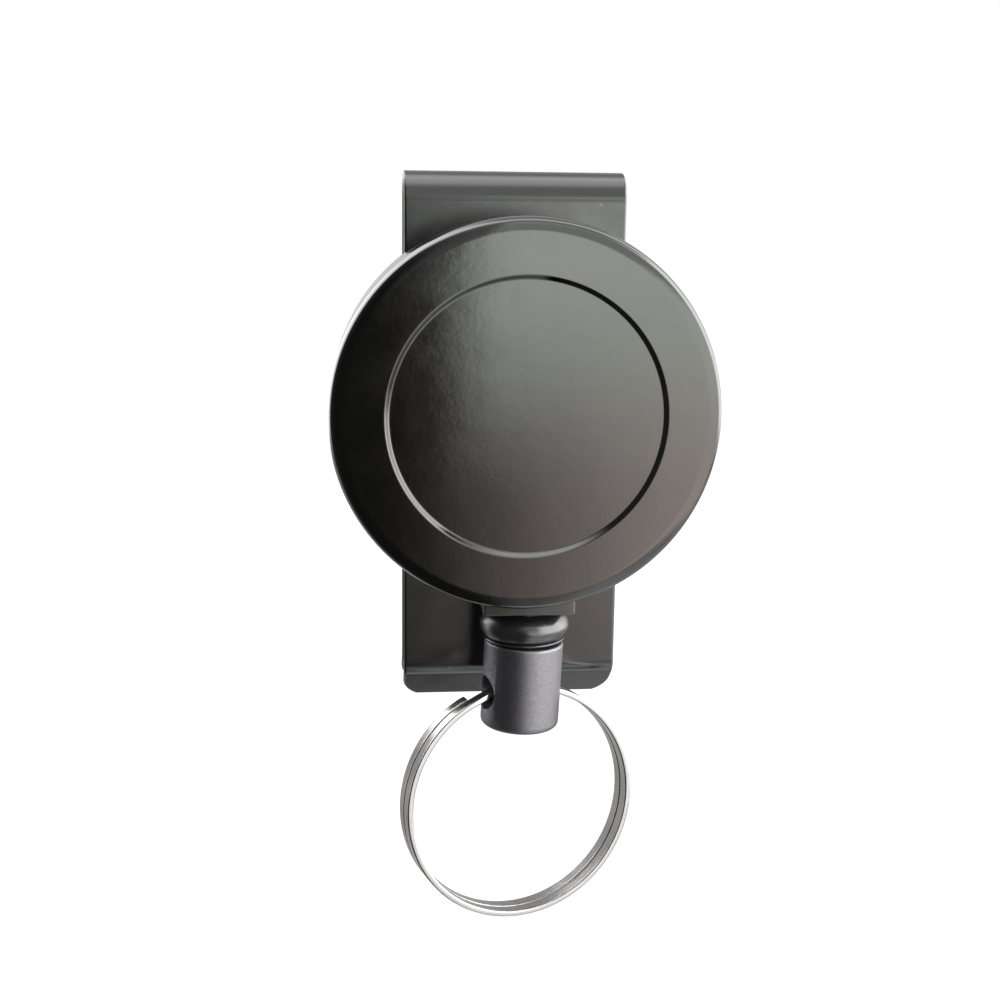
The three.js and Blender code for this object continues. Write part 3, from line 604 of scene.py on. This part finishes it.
BRAID = braid("braided_cord")


def settle(piece, material, body, slot, *nodes):
    """Gives a piece its material and its body, and hides the CAD nodes that it stands for. Its slot is not
    used.
    """
    piece.data.materials.clear()
    piece.data.materials.append(material)
    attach(piece, body)
    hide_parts(*nodes)
    return piece


# ---------------------------------------------------------------- case

def nozzle_slot():
    """The opening in the case's side wall, a little wider than the nozzle."""
    low, high = box_mm("outlet_nozzle")
    past_wall = 1.0
    past_seam = 3.0
    left = low.x + NOZZLE_SHOULDER - NOZZLE_SLOT_GAP
    right = high.x - NOZZLE_SHOULDER + NOZZLE_SLOT_GAP
    corner_low = (left, low.y - NOZZLE_SLOT_GAP, low.z - past_wall)
    corner_high = (right, SEAM_Y + past_seam, high.z + past_wall)
    return block("cutter", corner_low, corner_high)


def screw_places():
    """The middle of each case screw, as (x, z) in millimetres."""
    places = []
    for i in range(4):
        low, high = box_mm(f"case_screw_{i + 1}")
        places.append(((low.x + high.x) / 2, (low.z + high.z) / 2))
    return places


def front_cover():
    """The cover: side wall, rounded rim, narrow shoulder, flat ring and the recessed round field."""
    floor = FACE_Y + RECESS_DEPTH
    inner = CASE_RADIUS - SHELL
    edge = CASE_RADIUS - RIM_ROLL
    roll_y = FACE_Y + SHOULDER_DROP + RIM_ROLL_DEPTH
    steps = 14
    roll = []
    for i in range(steps + 1):
        angle = math.pi / 2 * i / steps
        roll.append((edge + RIM_ROLL * math.sin(angle), roll_y - RIM_ROLL_DEPTH * math.cos(angle), 0))
    outline = rounded([
        (0, floor, 0),
        (RECESS_RADIUS - RECESS_SLOPE, floor, SMALL_EDGE),
        (RECESS_RADIUS, FACE_Y, SMALL_EDGE),
        (edge - SHOULDER_WIDTH, FACE_Y, SHOULDER_BEND),
        *roll,
        (CASE_RADIUS - CASE_DRAFT, SEAM_Y, SMALL_EDGE),
        (inner, SEAM_Y, 0.1),
        (inner, FACE_Y + SHELL, 1.0),
        (RECESS_RADIUS + SHELL, FACE_Y + SHELL, 0),
        (RECESS_RADIUS + SHELL / 2, floor + SHELL, 0),
        (0, floor + SHELL, 0),
    ])
    piece = lathe("case_front", outline)
    cut(piece, [nozzle_slot()])
    settle(piece, CASE_PAINT, "case", "case_black", "front_cover")


def rear_housing():
    """The housing behind the seam, with counterbores for the screws and holes for rivets and post."""
    outer = CASE_RADIUS - CASE_DRAFT
    inner = CASE_RADIUS - SHELL
    lip_outer = inner - INNER_LIP_GAP
    lip_inner = lip_outer - INNER_LIP
    back = CASE_BACK_Y - SHELL
    seam = SEAM_Y + SEAM_GAP
    pad = back_low.y
    outline = rounded([
        (0, CASE_BACK_Y, 0),
        (BACK_STEP_RADIUS - BACK_STEP, CASE_BACK_Y, 0.1),
        (BACK_STEP_RADIUS + BACK_STEP, CASE_BACK_Y - BACK_STEP, 0.1),
        (outer, CASE_BACK_Y - BACK_STEP, BACK_EDGE),
        (outer, seam, SMALL_EDGE),
        (lip_outer, seam, 0),
        (lip_outer, pad, 0),
        (lip_inner, pad, 0),
        (lip_inner, back, 0.4),
        (PAD_RADIUS, back, 0.3),
        (PAD_RADIUS, back - PAD_RISE, 0),
        (0, back - PAD_RISE, 0),
    ])
    piece = lathe("case_back", outline)
    past = CASE_BACK_Y + 1
    cutters = [nozzle_slot()]
    bottom = CASE_BACK_Y - SCREW_HEAD_HEIGHT - SCREW_HEAD_GAP
    for x, z in screw_places():
        cutters.append(rod(SCREW_HEAD_RADIUS + SCREW_HEAD_GAP, bottom, past, at(x, 0, z)))
    for z in RIVET_HEIGHTS:
        cutters.append(rod(RIVET_HOLE, pad - 1, past, at(0, 0, z)))
    cutters.append(rod(POST_SCREW_HEAD_HOLE, CASE_BACK_Y - 1, past))
    cutters.append(rod(POST_SCREW_HOLE, pad - 1, past))
    cut(piece, cutters)
    settle(piece, CASE_PAINT, "case", "case_black", "rear_housing")


def case_screws():
    """Four domed cross-head screws in their counterbores."""
    top = CASE_BACK_Y - SCREW_HEAD_SINK
    outline = rounded([
        (0, top + 0.02, 0),
        (SCREW_HEAD_RADIUS * 0.6, top, 0),
        (SCREW_HEAD_RADIUS, top - 0.18, 0.15),
        (SCREW_HEAD_RADIUS, top - SCREW_HEAD_HEIGHT, 0),
        (SCREW_SHANK, top - SCREW_HEAD_HEIGHT, 0),
        (SCREW_SHANK, SEAM_Y - SCREW_LENGTH + SCREW_TIP, 0.3),
        (0, SEAM_Y - SCREW_LENGTH, 0),
    ])
    for i, (x, z) in enumerate(screw_places()):
        piece = lathe(f"screw_{i + 1}", outline, at(x, 0, z), SMALL_ROUND)
        turned = at(x, 0, z) @ Matrix.Rotation(math.radians(20 + 47 * i), 4, "Z")
        arms = []
        for wide, deep in ((SCREW_SLOT_HALF, SCREW_SLOT_REACH), (SCREW_SLOT_REACH, SCREW_SLOT_HALF)):
            low = (-wide, -deep, top - SCREW_SLOT_DEPTH)
            arms.append(block("cutter", low, (wide, deep, top + 1), 0, turned))
        cut(piece, arms, SCREW_SLOT_EDGE)
        settle(piece, SCREW_STEEL, "case", "screw_steel", f"case_screw_{i + 1}")


def outlet_nozzle():
    """The square block under the case that the cord leaves through."""
    low, high = box_mm("outlet_nozzle")
    corner_low = (low.x + NOZZLE_SHOULDER, low.y, low.z)
    corner_high = (high.x - NOZZLE_SHOULDER, high.y, high.z)
    piece = block("outlet_block", corner_low, corner_high, NOZZLE_EDGE)
    bore = rod(NOZZLE_BORE, low.z - 1, high.z + 1, CORD_FRAME)
    seat = rod(EYELET_SEAT, high.z - EYELET_SEAT_DEPTH, high.z + 1, CORD_FRAME)
    cut(piece, [bore, seat], NOZZLE_HOLE_EDGE)
    settle(piece, NOZZLE_PAINT, "case", "case_black", "outlet_nozzle")


def cord_eyelet():
    """The turned brass eyelet in the nozzle, with a flared mouth at each end."""
    low, high = box_mm("cord_eyelet")
    outline = rounded([
        (EYELET_BORE, low.z + 0.6, 0.3),
        (1.2, low.z, 0.2),
        (EYELET_RADIUS, low.z, 0.1),
        (EYELET_RADIUS, high.z - EYELET_FLANGE_HEIGHT, 0),
        (EYELET_FLANGE, high.z - EYELET_FLANGE_HEIGHT, 0.1),
        (EYELET_FLANGE, high.z, 0.15),
        (EYELET_MOUTH, high.z, 0.2),
        (EYELET_BORE, high.z - EYELET_MOUTH_DEPTH, 0.4),
    ], 4)
    piece = lathe("eyelet", outline, CORD_FRAME, SMALL_ROUND)
    settle(piece, BRASS, "case", "brass", "cord_eyelet")


# ---------------------------------------------------------------- belt clip

def flat_section(half_across, half_along, edge):
    """The outline of a flat strip or wire, as (across, along) points."""
    corners = ((1, 1), (-1, 1), (-1, -1), (1, -1))
    return rounded([(s * half_across, t * half_along, edge) for s, t in corners], 4)


def half_width(z):
    """Half the clip's width at a height, with the lower corners rounded off."""
    short = CLIP_CORNER - min(z - CLIP_BOTTOM_Z, CLIP_CORNER)
    return CLIP_HALF_WIDTH - CLIP_CORNER + math.sqrt(max(0, CLIP_CORNER**2 - short**2))


def bent_end(y):
    """Centre line of a plate's lower end, from its straight part to its tip, as (y, z)."""
    slope = math.radians(LIP_ANGLE)
    centre = y + LIP_BEND_RADIUS
    bend_steps = 14
    points = []
    for i in range(bend_steps + 1):
        angle = slope * i / bend_steps
        z = LIP_BEND_Z - LIP_BEND_RADIUS * math.sin(angle)
        points.append((centre - LIP_BEND_RADIUS * math.cos(angle), z))
    tip_z = CLIP_BOTTOM_Z + SHEET / 2 * math.sin(slope)
    last_y, last_z = points[-1]
    tip_steps = 22
    for i in range(1, tip_steps + 1):
        z = tip_z + (last_z - tip_z) * (1 - math.sin(math.pi / 2 * i / tip_steps))
        points.append((last_y + (last_z - z) * math.tan(slope), z))
    return points


def clip_strip(name, centre_line):
    """A strip of sheet along a centre line in the YZ plane, with rounded edges and a rounded tip.

    Its section is drawn narrow, and each loop then spreads it to the clip's width at that height.
    """
    narrow = 1.0
    section = flat_section(narrow, SHEET / 2, SHEET_EDGE)
    lengths = [0]
    for (y0, z0), (y1, z1) in zip(centre_line, centre_line[1:]):
        lengths.append(lengths[-1] + math.hypot(y1 - y0, z1 - z0))
    loops = []
    for i, (y, z) in enumerate(centre_line):
        y0, z0 = centre_line[max(i - 1, 0)]
        y1, z1 = centre_line[min(i + 1, len(centre_line) - 1)]
        length = math.hypot(y1 - y0, z1 - z0)
        normal = ((z1 - z0) / length, -(y1 - y0) / length)
        left = min(lengths[-1] - lengths[i], SHEET_EDGE)
        reach = math.sqrt(max(0, SHEET_EDGE**2 - (SHEET_EDGE - left) ** 2))
        thin = 1 - (SHEET_EDGE - reach) / (SHEET / 2)
        grow = half_width(z) - narrow if z < 0 else CLIP_HALF_WIDTH - narrow
        loop = []
        for x, t in section:
            across = x + math.copysign(grow, x)
            loop.append((across, y + normal[0] * t * thin, z + normal[1] * t * thin))
        loops.append(loop)
    return skin(name, loops)


def belt_clip():
    """The folded clip: a front plate on the case, and a fold and rear leg."""
    front = PLATE_FRONT_Y + SHEET / 2
    face = front + SHEET / 2
    bend_start = LIP_BEND_Z + LIP_BEND_START
    straight = [(front, z) for z in (FOLD_Z, *STRAIGHT_HEIGHTS, bend_start)]
    plate = clip_strip("clip_front", straight + bent_end(front))
    sink = rounded([
        (0, front - 1, 0),
        (RIVET_HOLE, front - 1, 0),
        (RIVET_HOLE, face - RIVET_SINK, 0),
        (RIVET_HEAD_RADIUS + RIVET_HEAD_GAP, face, 0),
        (RIVET_HEAD_RADIUS + RIVET_HEAD_GAP, front + SHEET, 0),
        (0, front + SHEET, 0),
    ])
    cut(plate, [lathe("cutter", sink, at(0, 0, z), SMALL_ROUND) for z in RIVET_HEIGHTS])
    settle(plate, CLIP_PAINT, "case", "clip_black", "clip_plate")
    radius = -front
    steps = 36
    fold = []
    for i in range(steps + 1):
        angle = math.pi * i / steps
        fold.append((-radius * math.cos(angle), FOLD_Z + radius * math.sin(angle)))
    back = [(radius, z) for z in (FOLD_Z - 0.3, *STRAIGHT_HEIGHTS, bend_start)]
    leg = clip_strip("clip_spring_leg", fold + back + bent_end(radius))
    leg.data.materials.append(CLIP_PAINT)
    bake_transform(leg)
    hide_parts("clip_leg")


def clip_rivets():
    """Two flush rivets, each with a sunk head in the plate and a pressed head in the case."""
    for node, name in (("clip_rivet_upper", "rivet_upper"), ("clip_rivet_lower", "rivet_lower")):
        low, high = box_mm(node)
        outline = rounded([
            (0, high.y, 0),
            (RIVET_HEAD_RADIUS, high.y, 0.05),
            (RIVET_RADIUS, high.y - RIVET_SINK, 0),
            (RIVET_RADIUS, low.y + RIVET_INNER_HEIGHT, 0),
            (RIVET_INNER_HEAD, low.y + RIVET_INNER_HEIGHT, 0.1),
            (RIVET_INNER_HEAD - 0.1, low.y, 0.3),
            (0, low.y, 0),
        ], 4)
        piece = lathe(name, outline, at(0, 0, (low.z + high.z) / 2), SMALL_ROUND)
        settle(piece, RIVET_STEEL, "case", "rivet_steel", node)


# ---------------------------------------------------------------- cord end

def bumper():
    """The glossy stop above the barrel: a fat bead over a thin lip."""
    low, high = box_mm("bumper")
    bead_middle = (high.x - low.x) / 2 - BUMPER_BEAD
    bead_z = high.z - BUMPER_BEAD_DROP
    steps = 22
    bead = []
    for k in range(steps + 1):
        angle = math.radians(BUMPER_BEAD_START + BUMPER_BEAD_SWEEP * k / steps)
        bead.append((bead_middle + BUMPER_BEAD * math.cos(angle), bead_z + BUMPER_BEAD * math.sin(angle)))
    lip = [
        (BUMPER_BORE, low.z),
        (BUMPER_LIP - 0.16, low.z),
        (BUMPER_LIP - 0.04, low.z + 0.04),
        (BUMPER_LIP, low.z + 0.12),
        (BUMPER_LIP - 0.04, low.z + 0.2),
        (BUMPER_LIP - 0.25, low.z + 0.25),
    ]
    neck = [
        (BUMPER_NECK, high.z - 0.3),
        (BUMPER_NECK - 0.1, high.z),
        (0.9, high.z),
        (BUMPER_BORE, high.z - 0.3),
    ]
    piece = lathe("bumper_ring", lip + bead + neck, CORD_FRAME)
    settle(piece, BUMPER_PLASTIC, "cord_end", "bumper_black", "bumper")


def key_barrel():
    """The swivelling barrel, with a cross hole for the ring and a blind bore for the cord's ferrule."""
    outline = rounded([
        (0, BARREL_BOTTOM, 0),
        (BARREL_RADIUS, BARREL_BOTTOM, BARREL_FOOT_ROUND),
        (BARREL_RADIUS, BARREL_TOP, BARREL_TOP_ROUND),
        (0, BARREL_TOP, 0),
    ], 8)
    piece = lathe("barrel_body", outline, BARREL_FRAME)
    drop = (BARREL_FRAME.inverted() @ hole_place).z / MM
    turned = BARREL_FRAME @ Matrix.Translation((0, 0, drop * MM)) @ Matrix.Rotation(math.pi / 2, 4, "Y")
    reach = BARREL_RADIUS + 2.7
    cross = rod(CROSS_HOLE_RADIUS, -reach, reach, turned, 96)
    bore = rod(CORD_BORE, -3, 1, BARREL_FRAME)
    pocket = rod(FERRULE_BORE, drop, BARREL_ROOF, BARREL_FRAME)
    cut(piece, [cross, bore, pocket], SMALL_EDGE)
    settle(piece, GUNMETAL, "barrel", "barrel_gunmetal", "key_barrel")


def split_ring():
    """Two turns of flat wire side by side, stepping from one to the other, with square-cut ends."""
    section = flat_section(RING_BAND / 2, RING_WIRE / 2, RING_EDGE)
    middle = RING_OUTER_RADIUS - RING_BAND / 2
    end_scale = 0.9
    loops = []
    for i in range(RING_STEPS + 1):
        degrees = RING_BACK_END + (RING_FRONT_END - RING_BACK_END) * i / RING_STEPS
        share = min(1, max(0, (degrees - RING_STEP_START) / (RING_STEP_END - RING_STEP_START)))
        offset = (0.5 - share * share * (3 - 2 * share)) * RING_COIL_PITCH
        angle = math.radians(degrees)
        scale = end_scale if i in (0, RING_STEPS) else 1.0
        loop = []
        for radial, across in section:
            radius = middle + radial * scale
            loop.append((radius * math.cos(angle), offset + across * scale, radius * math.sin(angle)))
        loops.append(loop)
    piece = skin("ring_coils", loops, RING_FRAME)
    settle(piece, RING_STEEL, "ring", "ring_steel", "split_ring")


def cord_ferrule():
    """The brass crimp on the cord's end, inside the barrel, with two pressed grooves."""
    corners = [
        (FERRULE_HOLE, FERRULE_TOP, 0),
        (FERRULE_HOLE, FERRULE_FLOOR, 0),
        (0, FERRULE_FLOOR, 0),
        (0, FERRULE_BOTTOM, 0),
        (FERRULE_RADIUS - 0.3, FERRULE_BOTTOM, 0.15),
        (FERRULE_RADIUS, FERRULE_BOTTOM + 0.3, 0.1),
    ]
    for height in FERRULE_GROOVES:
        corners.append((FERRULE_RADIUS, height - 0.2, 0))
        corners.append((FERRULE_GROOVE_RADIUS, height, 0))
        corners.append((FERRULE_RADIUS, height + 0.2, 0))
    corners.append((FERRULE_RADIUS, FERRULE_TOP, 0.1))
    piece = lathe("ferrule", rounded(corners, 3), BARREL_FRAME, SMALL_ROUND)
    settle(piece, BRASS, "cord_end", "brass", "cord_ferrule")


def cord_tail():
    """The cord from the winding, over the eyelet's mouth and down to the ferrule.
    """
    low, high = box_mm("cord_tail")
    x = swivel_place.x / MM
    y = swivel_place.y / MM
    start = Vector((high.x - CORD_RADIUS * 0.8, y, high.z - CORD_RADIUS * 0.8))
    bend = Vector((x, y, CORD_BEND_Z))
    before = start.lerp(bend, 0.82)
    after = Vector((x, y, CORD_BEND_Z - CORD_BEND_LENGTH))
    path = [start, start.lerp(before, 0.5), before]
    bend_steps = 10
    for i in range(1, bend_steps + 1):
        t = i / bend_steps
        path.append(before * (1 - t) ** 2 + bend * (2 * t * (1 - t)) + after * t**2)
    straight_steps = 40
    for i in range(1, straight_steps + 1):
        path.append(after.lerp(Vector((x, y, low.z)), i / straight_steps))
    loops = []
    for i, p in enumerate(path):
        ahead = path[min(i + 1, len(path) - 1)] - path[max(i - 1, 0)]
        side = ahead.cross(Vector((0, 1, 0))).normalized()
        loop = []
        for k in range(CORD_SIDES):
            angle = 2 * math.pi * k / CORD_SIDES
            spoke = side * math.cos(angle) + Vector((0, math.sin(angle), 0))
            loop.append(tuple(p + spoke * CORD_RADIUS))
        loops.append(loop)
    piece = skin("cord", loops)
    piece.data.materials.append(BRAID)
    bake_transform(piece)
    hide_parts("cord_tail")


# ---------------------------------------------------------------- CAD nodes that stay

def dress_cad_nodes():
    """Gives each CAD node that stays in view its procedural material."""
    kept = {
        "spool": ACETAL,
        "spring_cover": ACETAL,
        "thrust_washer": ACETAL,
        "power_spring": SPRING_STEEL,
        "retaining_ring": SPRING_STEEL,
        "centre_post": RIVET_STEEL,
        "post_screw": SCREW_STEEL,
        "swivel_washer": SCREW_STEEL,
        "cord_winding": BRAID,
        "cord_stop": BRASS,
    }
    for node, material in kept.items():
        piece = frame["nodes"][node]
        piece.data.materials.clear()
        piece.data.materials.append(material)


# ---------------------------------------------------------------- studio

FLOOR_Z = -0.72
BRIGHTEST = 10.0


def between(tree, value, low, high, soft):
    """1 where the value lies between low and high, fading over soft at each end."""
    rise = ramp(tree, value, low - soft / 2, low + soft / 2)
    fall = ramp(tree, value, high - soft / 2, high + soft / 2, 1.0, 0.0)
    return maths(tree, "MULTIPLY", rise, fall)


def room(tree):
    """The light from each direction, as layers from a nearly black room up.

    In front at the right is a window, with its frame, over a wall and a dimmer floor. White walls stand
    at both sides, and a dimmer room behind. Azimuth 0 is straight in front of the face and 90 towards
    +X, in degrees, and elevation is above level.
    """
    direction = add(tree, "ShaderNodeTexCoord").outputs["Generated"]
    way = add(tree, "ShaderNodeSeparateXYZ", inputs={"Vector": direction})
    x, y, z = (way.outputs[axis] for axis in "XYZ")
    turn = maths(tree, "ARCTAN2", x, maths(tree, "MULTIPLY", y, -1))
    azimuth = maths(tree, "MULTIPLY", turn, 180 / math.pi)
    elevation = maths(tree, "MULTIPLY", maths(tree, "ARCSINE", z), 180 / math.pi)

    def lit(colour, mask, level, tint=(1, 1, 1)):
        return mixed(tree, mask, colour, grey(level / BRIGHTEST, tint))

    def both(a, b):
        return maths(tree, "MULTIPLY", a, b)

    colour = lit(grey(0.015 / BRIGHTEST), ramp(tree, azimuth, -8, -30), 0.08)
    # The wall to the right, warmer towards the bottom, over a dim floor.
    wall = both(ramp(tree, azimuth, 1.0, 17), ramp(tree, elevation, -24, -17))
    colour = lit(colour, wall, 2.1, (1.15, 1.0, 0.94))
    near_floor = both(ramp(tree, azimuth, 3, 8), ramp(tree, elevation, -17, -24))
    colour = lit(colour, near_floor, 0.45)
    right_floor = both(ramp(tree, azimuth, 8, 15), ramp(tree, elevation, -18, -23))
    colour = lit(colour, right_floor, 1.1)
    wall_above = both(ramp(tree, azimuth, -6, 2), ramp(tree, elevation, -4, 2))
    colour = lit(colour, wall_above, 0.45)
    # A bright patch far below, which the clip's lip shows.
    lip_band = both(ramp(tree, azimuth, 0, 12), between(tree, elevation, -60, -38, 8))
    colour = lit(colour, lip_band, 1.5, (0.93, 1, 0.97))
    # The window, whose upper frame is dimmer, and the ceiling.
    window = both(ramp(tree, azimuth, 3.4, 5.8), ramp(tree, elevation, -13, -3))
    colour = lit(colour, window, 2.9, (0.94, 1.0, 0.9))
    frame_band = both(ramp(tree, azimuth, 3.4, 5.8), between(tree, elevation, 3, 11, 3))
    colour = lit(colour, frame_band, 1.3, (0.96, 1.0, 0.94))
    ceiling = both(ramp(tree, azimuth, -25, 5), ramp(tree, elevation, 11, 22))
    colour = lit(colour, ceiling, 0.95)
    colour = lit(colour, ramp(tree, elevation, 50, 75), 2.5)
    # The dimmer room behind, with its dark lower part.
    behind = ramp(tree, y, 0.15, 0.4)
    colour = lit(colour, both(behind, ramp(tree, elevation, 75, 50)), 0.65)
    below = both(behind, ramp(tree, elevation, -28, -44))
    colour = lit(colour, below, 0.08)
    colour = lit(colour, both(below, ramp(tree, azimuth, 173, 161)), 0.45)
    # The white walls at both sides, and the brightest one at the right.
    left = both(between(tree, azimuth, -165, -115, 30), ramp(tree, elevation, -22, -8))
    colour = lit(colour, left, 3.6)
    right = both(between(tree, azimuth, 100, 140, 20), ramp(tree, elevation, -18, -8))
    colour = lit(colour, right, 3.0)
    side = both(between(tree, azimuth, 36, 114, 12), between(tree, elevation, -12, 42, 8))
    colour = lit(colour, side, 5.8, (1.0, 0.98, 1.0))
    strip = both(between(tree, azimuth, 29, 45, 6), between(tree, elevation, -27, -12, 6))
    return lit(colour, strip, 1.9)


def low_card():
    """A grey card low behind the reel, seen only as a reflection in its ring and barrel."""
    y = 40 * MM
    left, right, low, high = -95 * MM, 60 * MM, -100 * MM, -20 * MM
    corners = [(left, y, low), (right, y, low), (right, y, high), (left, y, high)]
    mesh = bpy.data.meshes.new("low_card")
    mesh.from_pydata(corners, [], [(0, 1, 2, 3)])
    card = bpy.data.objects.new("low_card", mesh)
    bpy.context.scene.collection.objects.link(card)
    card.visible_camera = False
    card.visible_diffuse = False
    card.visible_shadow = False
    card.visible_transmission = False
    dim = bpy.data.materials.new("low_card")
    dim.use_nodes = True
    tree = dim.node_tree
    shader = tree.nodes["Principled BSDF"]
    place = add(tree, "ShaderNodeTexCoord").outputs["Object"]
    glow = mixed(tree, noise(tree, place, 22, 3), grey(0.3, (1, 0.95, 0.92)), grey(0.85))
    tree.links.new(glow, shader.inputs["Emission Color"])
    shader.inputs["Base Color"].default_value = grey(0)
    shader.inputs["Specular IOR Level"].default_value = 0
    shader.inputs["Emission Strength"].default_value = 1
    mesh.materials.append(dim)


def studio():
    """A pale floor far below, and the room's light. The camera sees both as white."""
    bpy.context.scene.view_settings.view_transform = "Standard"
    size = 6
    mesh = bpy.data.meshes.new("floor")
    corners = [(-size, -size, 0), (size, -size, 0), (size, size, 0), (-size, size, 0)]
    mesh.from_pydata(corners, [], [(0, 1, 2, 3)])
    floor = bpy.data.objects.new("floor", mesh)
    floor.location = (0, 0, FLOOR_Z)
    bpy.context.scene.collection.objects.link(floor)
    floor.visible_glossy = False
    floor.visible_diffuse = False
    pale = bpy.data.materials.new("pale_floor")
    pale.use_nodes = True
    shader = pale.node_tree.nodes["Principled BSDF"]
    shader.inputs["Base Color"].default_value = grey(0.12)
    shader.inputs["Roughness"].default_value = 0.9
    shader.inputs["Emission Color"].default_value = grey(1)
    shader.inputs["Emission Strength"].default_value = 0.9
    mesh.materials.append(pale)

    world = bpy.data.worlds.new("studio")
    bpy.context.scene.world = world
    world.use_nodes = True
    tree = world.node_tree
    tree.nodes.clear()
    seen = add(tree, "ShaderNodeLightPath").outputs["Is Camera Ray"]
    colour = mixed(tree, seen, room(tree), grey(1 / BRIGHTEST))
    background = add(tree, "ShaderNodeBackground", inputs={"Color": colour, "Strength": BRIGHTEST})
    add(tree, "ShaderNodeOutputWorld", inputs={"Surface": background.outputs["Background"]})


# ---------------------------------------------------------------- the whole reel

front_cover()
rear_housing()
case_screws()
outlet_nozzle()
cord_eyelet()
belt_clip()
clip_rivets()
bumper()
key_barrel()
split_ring()
cord_ferrule()
cord_tail()
dress_cad_nodes()
low_card()
studio()
